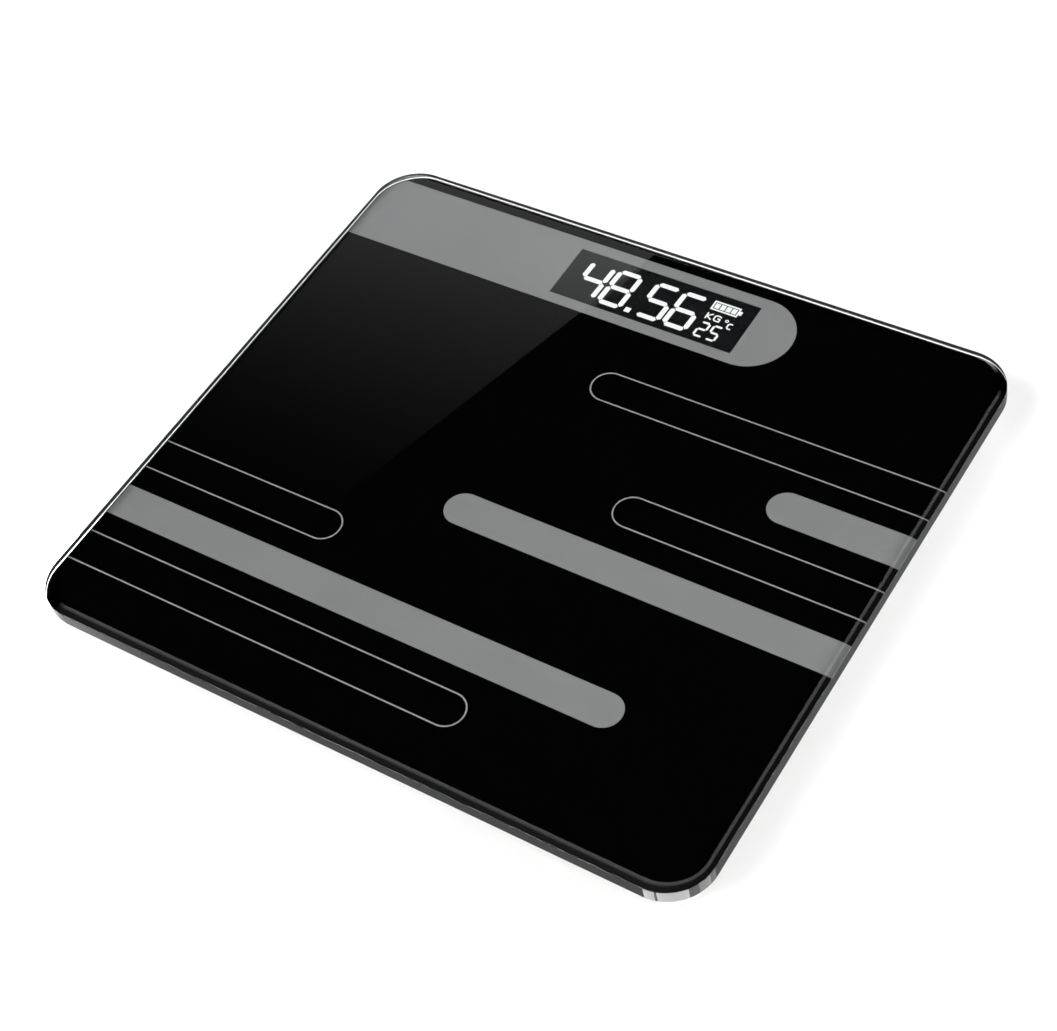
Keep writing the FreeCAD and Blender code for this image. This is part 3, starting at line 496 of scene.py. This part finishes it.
class SCALE_OT_glass(bpy.types.Operator):
    """Makes the bevelled glass plate with the artwork printed on its underside"""

    bl_idname = "bathroom_scale.glass"
    bl_label = "Glass platform"

    def execute(self, context):
        settings = context.scene.scale_glass
        inks = context.scene.scale_print
        low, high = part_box("glass_platform")
        bottom = low.z + PRINT_CLEARANCE
        profile = glass_profile(settings, bottom, high.z)
        ring = plate_ring(settings, low, high)
        mesh = bmesh.new()
        rows = []
        for inset, height in profile:
            row = []
            for point, outward in ring:
                place = point - outward * inset
                row.append(mesh.verts.new((place.x, place.y, height)))
            rows.append(row)
        count = len(ring)
        for lower, upper in zip(rows, rows[1:]):
            for index in range(count):
                after = (index + 1) % count
                face = mesh.faces.new((lower[index], lower[after], upper[after], upper[index]))
                rise = upper[index].co.z - lower[index].co.z
                outward = ring[index][1] + ring[after][1]
                polished = outward.x > POLISHED_TURN and outward.y < -POLISHED_TURN
                if rise > settings.bevel_height * UPRIGHT_SHARE and not polished:
                    face.material_index = GROUND_EDGE
        mesh.faces.new(rows[-1])
        base_ring = [(vertex.co.x, vertex.co.y) for vertex in rows[0]]
        printed_floor(mesh, base_ring, bottom)
        bmesh.ops.remove_doubles(mesh, verts=mesh.verts, dist=1e-7)
        for face in mesh.faces:
            face.smooth = True
        data = bpy.data.meshes.new("platform_glass")
        for material in (
            glass_material("polished_glass", settings.tint),
            ink_material("black_coat", inks.black),
            ink_material("grey_coat", inks.grey),
            ink_material("line_coat", inks.line),
            ink_material("ground_edge", settings.edge, 0.12, 0.3, 0.045),
        ):
            data.materials.append(material)
        mesh.to_mesh(data)
        mesh.free()
        plate = object_from("platform_glass", data)
        weighted = plate.modifiers.new("Even faces", "WEIGHTED_NORMAL")
        weighted.weight = 100
        plain_mesh(plate)
        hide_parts("glass_platform")
        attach(plate, "platform")
        return {"FINISHED"}


class SCALE_OT_prints(bpy.types.Operator):
    """Finishes the ink coats and the foam tape under the glass"""

    bl_idname = "bathroom_scale.prints"
    bl_label = "Print coats and tape"

    def execute(self, context):
        inks = context.scene.scale_print
        dress(["grey_print"], ink_material("grey_ink_back", inks.grey))
        dress(["line_print"], ink_material("line_ink_back", inks.line))
        dress(["black_print"], ink_material("black_ink_back", scaled(inks.black, 6.0), 0.15, 0.35, 0.5))
        dress(["foam_gasket"], rubber_material("foam_tape", (0.02, 0.02, 0.021)))
        return {"FINISHED"}


# ---------------------------------------------------------------- the underside
class SCALE_OT_shell(bpy.types.Operator):
    """Finishes the moulded tray, battery cover and the holders inside"""

    bl_idname = "bathroom_scale.shell"
    bl_label = "Tray and mouldings"

    def execute(self, context):
        body = context.scene.scale_body
        shell = moulded_material("white_moulding", body.shell)
        dress(["base_tray", "battery_cover"], shell)
        holders = ["display_frame"] + ["cell_retainer_" + corner for corner in CORNERS]
        dress(holders, moulded_material("holder_moulding", scaled(body.shell, 0.92), 0.5))
        dress(["unit_button"], moulded_material("button_moulding", body.button, 0.38, 3400.0))
        dress(["switch_plunger"], moulded_material("plunger_moulding", (0.02, 0.02, 0.021), 0.35))
        return {"FINISHED"}


def geometry_tree(name, inputs):
    """New geometry tree with named inputs, given with its input and output nodes."""
    tree = bpy.data.node_groups.new(name, "GeometryNodeTree")
    for input_name, kind in inputs.items():
        tree.interface.new_socket(name=input_name, in_out="INPUT", socket_type="NodeSocket" + kind)
    tree.interface.new_socket(name="Geometry", in_out="OUTPUT", socket_type="NodeSocketGeometry")
    return tree, tree.nodes.new("NodeGroupInput"), tree.nodes.new("NodeGroupOutput")


def finish_tree(tree, given, result, shape):
    """Makes the shape's instances real, gives it its material and puts it out."""
    real = tree.nodes.new("GeometryNodeRealizeInstances")
    tree.links.new(shape, real.inputs["Geometry"])
    coat = tree.nodes.new("GeometryNodeSetMaterial")
    tree.links.new(real.outputs["Geometry"], coat.inputs["Geometry"])
    tree.links.new(given.outputs["Material"], coat.inputs["Material"])
    tree.links.new(coat.outputs["Geometry"], result.inputs["Geometry"])


def stud_tree():
    """Geometry nodes: studs stood along rings under a foot pad, hanging down from the given height."""
    tree, given, result = geometry_tree("Grip studs", {
        "Centre": "Vector",
        "Ring radius": "Float",
        "Count": "Int",
        "Stud radius": "Float",
        "Stud height": "Float",
        "Material": "Material",
    })
    nodes = tree.nodes
    links = tree.links
    ring = nodes.new("GeometryNodeMeshCircle")
    links.new(given.outputs["Count"], ring.inputs["Vertices"])
    links.new(given.outputs["Ring radius"], ring.inputs["Radius"])
    stud = nodes.new("GeometryNodeMeshCone")
    stud.inputs["Vertices"].default_value = STUD_SIDES
    links.new(given.outputs["Stud radius"], stud.inputs["Radius Bottom"])
    slimmer = nodes.new("ShaderNodeMath")
    slimmer.operation = "MULTIPLY"
    slimmer.inputs[1].default_value = STUD_TAPER
    links.new(given.outputs["Stud radius"], slimmer.inputs[0])
    links.new(slimmer.outputs["Value"], stud.inputs["Radius Top"])
    links.new(given.outputs["Stud height"], stud.inputs["Depth"])
    stand = nodes.new("GeometryNodeInstanceOnPoints")
    turn = nodes.new("FunctionNodeInputVector")
    turn.vector = (math.pi, 0.0, 0.0)
    links.new(ring.outputs["Mesh"], stand.inputs["Points"])
    links.new(stud.outputs["Mesh"], stand.inputs["Instance"])
    links.new(turn.outputs["Vector"], stand.inputs["Rotation"])
    place = nodes.new("GeometryNodeTransform")
    links.new(stand.outputs["Instances"], place.inputs["Geometry"])
    links.new(given.outputs["Centre"], place.inputs["Translation"])
    finish_tree(tree, given, result, place.outputs["Geometry"])
    return tree


def add_nodes(piece, tree, values):
    """Puts a geometry tree on the piece with its named inputs set."""
    modifier = piece.modifiers.new(tree.name, "NODES")
    modifier.node_group = tree
    identifiers = {item.name: item.identifier for item in tree.interface.items_tree if item.in_out == "INPUT"}
    for name, value in values.items():
        modifier[identifiers[name]] = value
    return modifier


def join_pieces(name, pieces):
    """One mesh out of several pieces, whose own objects are removed."""
    joined = bmesh.new()
    data = bpy.data.meshes.new(name)
    for material in pieces[0].data.materials:
        data.materials.append(material)
    for piece in pieces:
        joined.from_mesh(piece.data)
        bpy.data.objects.remove(piece)
    joined.to_mesh(data)
    joined.free()
    return object_from(name, data)


class SCALE_OT_feet(bpy.types.Operator):
    """Finishes the foot cups and pads and adds the rings of grip studs under each pad"""

    bl_idname = "bathroom_scale.feet"
    bl_label = "Feet"

    def execute(self, context):
        body = context.scene.scale_body
        studs = context.scene.scale_pads
        cup = moulded_material("cup_moulding", body.foot, 0.4)
        rubber = rubber_material("pad_rubber_grain", body.pad)
        tree = stud_tree()
        for corner in CORNERS:
            dress(["foot_cup_" + corner], cup)
            dress(["foot_pad_" + corner], rubber)
            low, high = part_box("foot_pad_" + corner)
            centre = (low + high) / 2.0
            level = low.z + PAD_GROOVE_DEPTH + STUD_BURY
            rings = []
            for radius in PAD_GROOVE_RADII:
                ring = object_from("stud_ring", bpy.data.meshes.new("stud_ring"))
                values = {
                    "Centre": (centre.x, centre.y, level),
                    "Ring radius": radius,
                    "Count": round(2.0 * math.pi * radius / studs.spacing),
                    "Stud radius": studs.stud_radius,
                    "Stud height": studs.stud_height,
                    "Material": rubber,
                }
                add_nodes(ring, tree, values)
                rings.append(plain_mesh(ring))
            piece = join_pieces("pad_studs_" + corner, rings)
            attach(piece, "foot_" + corner)
        return {"FINISHED"}


# ---------------------------------------------------------------- display, electronics, power
class SCALE_OT_display(bpy.types.Operator):
    """Finishes the display: dark glass, lit figures, diffuser and contact strips"""

    bl_idname = "bathroom_scale.display"
    bl_label = "Display"

    def execute(self, context):
        inks = context.scene.scale_print
        dress(["lcd_panel"], ink_material("display_dark_glass", (0.0035, 0.0035, 0.0038), 0.1, 0.16, 0.08))
        dress(["lcd_segments"], glowing_material("display_lit_figures", inks.lit, inks.lit_strength))
        dress(["backlight_panel"], moulded_material("display_diffuser", (0.86, 0.87, 0.88), 0.5))
        dress(["zebra_strips"], rubber_material("display_contact_rubber", (0.3, 0.3, 0.32)))
        return {"FINISHED"}


class SCALE_OT_electronics(bpy.types.Operator):
    """Finishes the board, its parts, the load cells, wires and screws"""

    bl_idname = "bathroom_scale.electronics"
    bl_label = "Board, cells and wires"

    def execute(self, context):
        body = context.scene.scale_body
        dress(["main_board"], moulded_material("board_solder_mask", body.board, 0.3, 500.0, 0.00002, 0.2))
        dress(["control_chip"], moulded_material("chip_epoxy_drop", (0.008, 0.008, 0.009), 0.25, 300.0))
        small = moulded_material("small_parts", (0.32, 0.25, 0.17), 0.45, 900.0, 0.00002, 0.3)
        dress(["board_components"], small)
        dress(["temperature_sensor"], moulded_material("sensor_epoxy", (0.09, 0.04, 0.02), 0.2, 300.0))
        dress(["unit_switch"], metal_material("switch_can", (0.62, 0.62, 0.6), 0.35))
        steel = metal_material("stamped_steel", (0.56, 0.56, 0.55), 0.34, (0.15, 1.0, 1.0))
        dress(["load_cell_" + corner for corner in CORNERS], steel)
        silicone = moulded_material("white_silicone", (0.82, 0.82, 0.78), 0.32, 400.0)
        dress(["strain_gauge_" + corner for corner in CORNERS], silicone)
        wires = moulded_material("wire_sleeve", (0.4, 0.035, 0.03), 0.38, 1200.0)
        dress(["cell_wires_" + corner for corner in CORNERS] + ["battery_wires"], wires)
        zinc = metal_material("zinc_plate", (0.68, 0.68, 0.66), 0.28)
        dress(["board_screws", "retainer_screws"], zinc)
        return {"FINISHED"}


def spring_tree():
    """Geometry nodes: a coil that narrows towards its tip, along the X axis from the given start."""
    tree, given, result = geometry_tree("Battery spring", {
        "Start": "Vector",
        "Turn": "Vector",
        "Length": "Float",
        "Turns": "Float",
        "Base radius": "Float",
        "Tip radius": "Float",
        "Wire radius": "Float",
        "Material": "Material",
    })
    nodes = tree.nodes
    links = tree.links
    coil = nodes.new("GeometryNodeCurveSpiral")
    coil.inputs["Resolution"].default_value = COIL_RESOLUTION
    links.new(given.outputs["Turns"], coil.inputs["Rotations"])
    links.new(given.outputs["Base radius"], coil.inputs["Start Radius"])
    links.new(given.outputs["Tip radius"], coil.inputs["End Radius"])
    links.new(given.outputs["Length"], coil.inputs["Height"])
    section = nodes.new("GeometryNodeCurvePrimitiveCircle")
    section.inputs["Resolution"].default_value = WIRE_SIDES
    links.new(given.outputs["Wire radius"], section.inputs["Radius"])
    wire = nodes.new("GeometryNodeCurveToMesh")
    wire.inputs["Fill Caps"].default_value = True
    links.new(coil.outputs["Curve"], wire.inputs["Curve"])
    links.new(section.outputs["Curve"], wire.inputs["Profile Curve"])
    place = nodes.new("GeometryNodeTransform")
    links.new(wire.outputs["Mesh"], place.inputs["Geometry"])
    links.new(given.outputs["Start"], place.inputs["Translation"])
    links.new(given.outputs["Turn"], place.inputs["Rotation"])
    finish_tree(tree, given, result, place.outputs["Geometry"])
    return tree


def spring_is_at_low_end(low, high):
    """Whether the cell in this box has its spring, and so its flat end, at the low X side."""
    middle_y = (low.y + high.y) / 2.0
    for number in CELL_NUMBERS:
        spring_low, spring_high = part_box("battery_spring_" + str(number))
        if spring_low.y < middle_y < spring_high.y:
            return spring_high.x < (low.x + high.x) / 2.0
    raise RuntimeError("No spring lies in line with this cell")


def battery_material(number):
    """Printed sleeve with a pale band by the cap end and bare metal at both ends, read along the cell."""
    material, tree, shader = blank_material("cell_sleeve_" + str(number))
    place = tree.nodes.new("ShaderNodeTexCoord")
    split = tree.nodes.new("ShaderNodeSeparateXYZ")
    tree.links.new(place.outputs["Object"], split.inputs["Vector"])
    low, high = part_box("battery_cell_" + str(number))
    flat_end, cap_end = (low.x, high.x) if spring_is_at_low_end(low, high) else (high.x, low.x)
    along = tree.nodes.new("ShaderNodeMapRange")
    along.inputs["From Min"].default_value = flat_end
    along.inputs["From Max"].default_value = cap_end
    tree.links.new(split.outputs["X"], along.inputs["Value"])
    ramp = tree.nodes.new("ShaderNodeValToRGB")
    ramp.color_ramp.interpolation = "CONSTANT"
    stops = ((0.0, (0.55, 0.54, 0.52)), (0.018, (0.03, 0.1, 0.085)), (0.78, (0.42, 0.44, 0.42)),
             (0.955, (0.55, 0.54, 0.52)))
    ramp.color_ramp.elements[0].color = (*stops[0][1], 1.0)
    ramp.color_ramp.elements[1].position = stops[1][0]
    ramp.color_ramp.elements[1].color = (*stops[1][1], 1.0)
    for position, colour in stops[2:]:
        stop = ramp.color_ramp.elements.new(position)
        stop.color = (*colour, 1.0)
    tree.links.new(along.outputs["Result"], ramp.inputs["Fac"])
    tree.links.new(ramp.outputs["Color"], shader.inputs["Base Color"])
    tree.links.new(spread(tree, object_noise(tree, 500.0), 0.22, 0.36), shader.inputs["Roughness"])
    shader.inputs["Metallic"].default_value = 0.6
    add_bump(tree, shader, object_noise(tree, 1400.0), 0.00001, 0.5)
    return material


class SCALE_OT_power(bpy.types.Operator):
    """Finishes the cells and contacts and winds the battery springs"""

    bl_idname = "bathroom_scale.power"
    bl_label = "Batteries and contacts"

    def execute(self, context):
        springs = context.scene.scale_springs
        for number in CELL_NUMBERS:
            dress(["battery_cell_" + str(number)], battery_material(number))
        nickel = metal_material("nickel_contact", (0.66, 0.64, 0.6), 0.25)
        dress(["link_contact", "terminal_contacts"], nickel)
        tree = spring_tree()
        quarter = math.radians(90.0)
        for number, direction in ((1, 1.0), (2, -1.0)):
            node = "battery_spring_" + str(number)
            low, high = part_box(node)
            middle = (low + high) / 2.0
            length = high.x - low.x - 2.0 * springs.wire
            start_x = low.x + springs.wire if direction > 0 else high.x - springs.wire
            piece = object_from("contact_coil_" + str(number), bpy.data.meshes.new("contact_coil"))
            values = {
                "Start": (start_x, middle.y, middle.z),
                "Turn": (0.0, direction * quarter, 0.0),
                "Length": length,
                "Turns": springs.turns,
                "Base radius": springs.base_radius - springs.wire,
                "Tip radius": springs.tip_radius,
                "Wire radius": springs.wire,
                "Material": nickel,
            }
            add_nodes(piece, tree, values)
            plain_mesh(piece)
            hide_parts(node)
            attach(piece, "platform")
        return {"FINISHED"}


# ---------------------------------------------------------------- the studio
def camera_axes(settings):
    """Eye position and the directions right, up and back of the camera."""
    azimuth = settings.azimuth
    elevation = settings.elevation
    flat = math.cos(elevation)
    back = Vector((math.sin(azimuth) * flat, -math.cos(azimuth) * flat, math.sin(elevation)))
    level = (-back).cross(Vector((0.0, 0.0, 1.0))).normalized()
    upright = level.cross(-back)
    right = level * math.cos(settings.roll) + upright * math.sin(settings.roll)
    up = upright * math.cos(settings.roll) - level * math.sin(settings.roll)
    target = Vector((0.0, 0.0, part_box("black_print")[0].z))
    eye = target + back * settings.distance + right * settings.slide_right + up * settings.slide_up
    return eye, right, up, back


def mirrored_ray(eye, point, normal):
    """Direction in which the camera's sight of a point carries on after reflection."""
    sight = (point - eye).normalized()
    return sight - normal * (2.0 * sight.dot(normal))


def ribbon(name, lines, glow_lines):
    """Light card between lines of points, each point with its own brightness."""
    mesh = bmesh.new()
    layer = mesh.verts.layers.float.new("glow")
    rows = []
    for line, glow_line in zip(lines, glow_lines):
        row = []
        for place, glow in zip(line, glow_line):
            vertex = mesh.verts.new(place)
            vertex[layer] = glow
            row.append(vertex)
        rows.append(row)
    for lower, upper in zip(rows, rows[1:]):
        for index in range(len(lower) - 1):
            mesh.faces.new((lower[index], lower[index + 1], upper[index + 1], upper[index]))
    data = bpy.data.meshes.new(name)
    mesh.to_mesh(data)
    mesh.free()
    material = bpy.data.materials.new(name)
    material.use_nodes = True
    tree = material.node_tree
    tree.nodes.clear()
    light = tree.nodes.new("ShaderNodeEmission")
    light.inputs["Color"].default_value = (1.0, 1.0, 1.0, 1.0)
    amount = tree.nodes.new("ShaderNodeAttribute")
    amount.attribute_name = "glow"
    output = tree.nodes.new("ShaderNodeOutputMaterial")
    tree.links.new(amount.outputs["Fac"], light.inputs["Strength"])
    tree.links.new(light.outputs["Emission"], output.inputs["Surface"])
    data.materials.append(material)
    object_from(name, data)


def blend_corners(values, across, down):
    """Value between four corners' values, given in order round the card."""
    near = values[0] * (1.0 - across) + values[1] * across
    far = values[3] * (1.0 - across) + values[2] * across
    return near * (1.0 - down) + far * down


def wall_card(eye, level):
    """Card whose slanting edge and fading light show in the left part of the glass."""
    shown = [Vector((x, y, level)) for x, y in WALL_SHOWN]
    lines = []
    glow_lines = []
    for row in range(CARD_STEPS + 1):
        down = row / CARD_STEPS
        line = []
        glow_line = []
        for column in range(CARD_STEPS + 1):
            across = column / CARD_STEPS
            point = blend_corners(shown, across, down)
            line.append(point + mirrored_ray(eye, point, Vector((0.0, 0.0, 1.0))) * CARD_DISTANCE)
            glow_line.append(blend_corners(WALL_GLOW, across, down) ** WALL_GLOW_POWER)
        lines.append(line)
        glow_lines.append(glow_line)
    ribbon("wall_card", lines, glow_lines)


def edge_places(settings, low, high, first, last):
    """Points along the plate's outline with their outward directions, between two turns in degrees."""
    radius = settings.corner
    half = (high - low) / 2.0
    centre = (low + high) / 2.0
    places = []
    for quarter, (sign_x, sign_y) in enumerate(((1, 1), (-1, 1), (-1, -1), (1, -1)) * 2):
        corner = centre + Vector((sign_x * (half.x - radius), sign_y * (half.y - radius), 0.0))
        corner.z = 0.0
        for step in range(EDGE_STEPS + 1):
            turn = 90.0 * (quarter + step / EDGE_STEPS)
            if first <= turn <= last:
                outward = Vector((math.cos(math.radians(turn)), math.sin(math.radians(turn)), 0.0))
                places.append((corner + outward * radius, outward))
    filled = [places[0]]
    for place, outward in places[1:]:
        before = filled[-1][0]
        pieces = max(1, round((place - before).length / EDGE_SPACING))
        for piece in range(1, pieces + 1):
            filled.append((before.lerp(place, piece / pieces), outward))
    return filled


def edge_card(name, eye, places, level, bands, side_bands):
    """Card that a range of edge slopes mirrors to the camera, as slopes in degrees with their glow.

    The first bands hold where the edge runs along X, the side bands where it runs along Y.
    """
    lines = []
    glow_lines = []
    for (tilt, glow), (side_tilt, side_glow) in zip(bands, side_bands):
        line = []
        glow_line = []
        for index, (place, outward) in enumerate(places):
            share = outward.x ** 2
            lean = math.radians(tilt + (side_tilt - tilt) * share)
            fade = min(1.0, index / CARD_FADE, (len(places) - 1 - index) / CARD_FADE)
            glow_line.append((glow + (side_glow - glow) * share) * fade)
            point = Vector((place.x, place.y, level))
            normal = outward * math.sin(lean) + Vector((0.0, 0.0, math.cos(lean)))
            line.append(point + mirrored_ray(eye, point, normal) * CARD_DISTANCE)
        lines.append(line)
        glow_lines.append(glow_line)
    ribbon(name, lines, glow_lines)


def floor_card(name, eye, places, levels, glows):
    """Bright patch of the floor that the upright side of the glass mirrors to the camera."""
    lines = []
    for level in levels:
        line = []
        for place, outward in places:
            point = Vector((place.x, place.y, level))
            ray = mirrored_ray(eye, point, outward)
            line.append(point + ray * ((level - FLOOR_CARD_Z) / -ray.z))
        lines.append(line)
    ribbon(name, lines, [glows] * len(lines))


def soft_box(name, target, azimuth, elevation, distance, width, height, power):
    """Area lamp turned towards the target."""
    place = from_angles(azimuth, elevation, distance)
    lamp = bpy.data.lights.new(name, "AREA")
    lamp.shape = "RECTANGLE"
    lamp.size = width
    lamp.size_y = height
    lamp.energy = power
    lamp_object = bpy.data.objects.new(name, lamp)
    bpy.context.scene.collection.objects.link(lamp_object)
    lamp_object.location = place
    lamp_object.rotation_euler = (target - place).to_track_quat("-Z", "Y").to_euler()


def from_angles(azimuth, elevation, distance):
    """Place at a compass angle (0 in front of the user's side, 90 at +X) and height angle."""
    turn = math.radians(azimuth)
    rise = math.radians(elevation)
    flat = math.cos(rise)
    return Vector((math.sin(turn) * flat, -math.cos(turn) * flat, math.sin(rise))) * distance


def floor_material():
    """Matt paper with a faint unevenness."""
    material, tree, shader = blank_material("paper_floor")
    fibres = object_noise(tree, 14.0, 3.0)
    base = colour_between(tree, fibres, (0.89, 0.89, 0.89), (0.9, 0.9, 0.9))
    tree.links.new(base, shader.inputs["Base Color"])
    shader.inputs["Roughness"].default_value = 0.9
    shader.inputs["Specular IOR Level"].default_value = 0.1
    return material


def studio_world():
    """Pale surround, bright near the horizon and dark overhead."""
    world = bpy.data.worlds.new("studio_surround")
    bpy.context.scene.world = world
    world.use_nodes = True
    tree = world.node_tree
    tree.nodes.clear()
    place = tree.nodes.new("ShaderNodeTexCoord")
    split = tree.nodes.new("ShaderNodeSeparateXYZ")
    ramp = tree.nodes.new("ShaderNodeValToRGB")
    elements = ramp.color_ramp.elements
    while len(elements) < len(SURROUND):
        elements.new(0.5)
    for element, (height_angle, level) in zip(elements, SURROUND):
        element.position = math.sin(math.radians(height_angle))
        element.color = (level, level, level, 1.0)
    light = tree.nodes.new("ShaderNodeBackground")
    output = tree.nodes.new("ShaderNodeOutputWorld")
    tree.links.new(place.outputs["Generated"], split.inputs["Vector"])
    tree.links.new(split.outputs["Z"], ramp.inputs["Fac"])
    tree.links.new(ramp.outputs["Color"], light.inputs["Color"])
    tree.links.new(light.outputs["Background"], output.inputs["Surface"])


class SCALE_OT_studio(bpy.types.Operator):
    """Sets the pale floor, soft lights, light cards and the camera"""

    bl_idname = "bathroom_scale.studio"
    bl_label = "Studio"

    def execute(self, context):
        settings = context.scene.scale_studio
        glass = context.scene.scale_glass
        context.scene.view_settings.view_transform = "Standard"
        studio_world()

        floor_mesh = bmesh.new()
        bmesh.ops.create_grid(floor_mesh, x_segments=8, y_segments=8, size=FLOOR_HALF)
        floor_data = bpy.data.meshes.new("studio_floor")
        floor_mesh.to_mesh(floor_data)
        floor_mesh.free()
        floor_data.materials.append(floor_material())
        object_from("studio_floor", floor_data)

        eye, right, up, back = camera_axes(settings)
        camera_data = bpy.data.cameras.new("studio_camera")
        camera_data.lens = settings.lens
        camera_data.clip_start = 0.01
        camera_data.clip_end = 60.0
        camera = bpy.data.objects.new("studio_camera", camera_data)
        context.scene.collection.objects.link(camera)
        camera.matrix_world = Matrix.Translation(eye) @ Matrix((right, up, back)).transposed().to_4x4()
        context.scene.camera = camera

        aim = Vector((0.0, 0.0, LAMP_AIM_Z))
        soft_box("key_box", aim, *KEY_BOX)
        soft_box("fill_box", aim, *FILL_BOX)

        low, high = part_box("glass_platform")
        wall_card(eye, high.z)
        near_and_right = edge_places(glass, low, high, *NEAR_TURNS)
        edge_card("near_edge_card", eye, near_and_right, high.z, NEAR_BANDS, RIGHT_BANDS)
        far_and_left = edge_places(glass, low, high, *FAR_TURNS)
        edge_card("far_edge_card", eye, far_and_left, high.z, FAR_BANDS, LEFT_BANDS)
        side = (low.z + glass.arris, high.z - glass.bevel_height)
        for number, (first, last, glow) in enumerate(CORNER_GLINTS):
            places = edge_places(glass, low, high, first, last)
            floor_card("corner_glint_" + str(number), eye, places, side, [glow] * len(places))
        around = edge_places(glass, low, high, *PATCH_TURNS)
        front = [(place, outward) for place, outward in around if place.x < PATCH_END_X]
        run = PATCH_END_X - low.x
        glows = [PATCH_GLOW * ((PATCH_END_X - place.x) / run) ** 2 + PATCH_BASE_GLOW for place, _ in front]
        floor_card("front_left_patch", eye, front, PATCH_LEVELS, glows)
        return {"FINISHED"}


# ---------------------------------------------------------------- sidebar and registration
OPERATORS = (
    SCALE_OT_glass,
    SCALE_OT_prints,
    SCALE_OT_shell,
    SCALE_OT_feet,
    SCALE_OT_display,
    SCALE_OT_electronics,
    SCALE_OT_power,
    SCALE_OT_studio,
)
SETTINGS = (
    ("scale_glass", GlassSettings),
    ("scale_print", PrintSettings),
    ("scale_body", BodySettings),
    ("scale_pads", PadSettings),
    ("scale_springs", SpringSettings),
    ("scale_studio", StudioSettings),
)


class SCALE_PT_panel(bpy.types.Panel):
    """Lists the scale's settings and the steps that build it"""

    bl_idname = "SCALE_PT_panel"
    bl_label = "Bathroom Scale"
    bl_space_type = "VIEW_3D"
    bl_region_type = "UI"
    bl_category = "Scale"

    def draw(self, context):
        layout = self.layout
        for operator in OPERATORS:
            layout.operator(operator.bl_idname)
        for name, group in SETTINGS:
            box = layout.box()
            values = getattr(context.scene, name)
            for key in group.__annotations__:
                box.prop(values, key)


def register():
    """Adds the settings, the steps and the panel to Blender."""
    for name, group in SETTINGS:
        bpy.utils.register_class(group)
        setattr(bpy.types.Scene, name, PointerProperty(type=group))
    for operator in OPERATORS:
        bpy.utils.register_class(operator)
    bpy.utils.register_class(SCALE_PT_panel)


def unregister():
    """Takes them out again."""
    bpy.utils.unregister_class(SCALE_PT_panel)
    for operator in reversed(OPERATORS):
        bpy.utils.unregister_class(operator)
    for name, group in reversed(SETTINGS):
        delattr(bpy.types.Scene, name)
        bpy.utils.unregister_class(group)


def main():
    """Builds the whole scale and its studio."""
    register()
    bpy.ops.bathroom_scale.glass()
    bpy.ops.bathroom_scale.prints()
    bpy.ops.bathroom_scale.shell()
    bpy.ops.bathroom_scale.feet()
    bpy.ops.bathroom_scale.display()
    bpy.ops.bathroom_scale.electronics()
    bpy.ops.bathroom_scale.power()
    bpy.ops.bathroom_scale.studio()


if __name__ == "__main__":
    main()
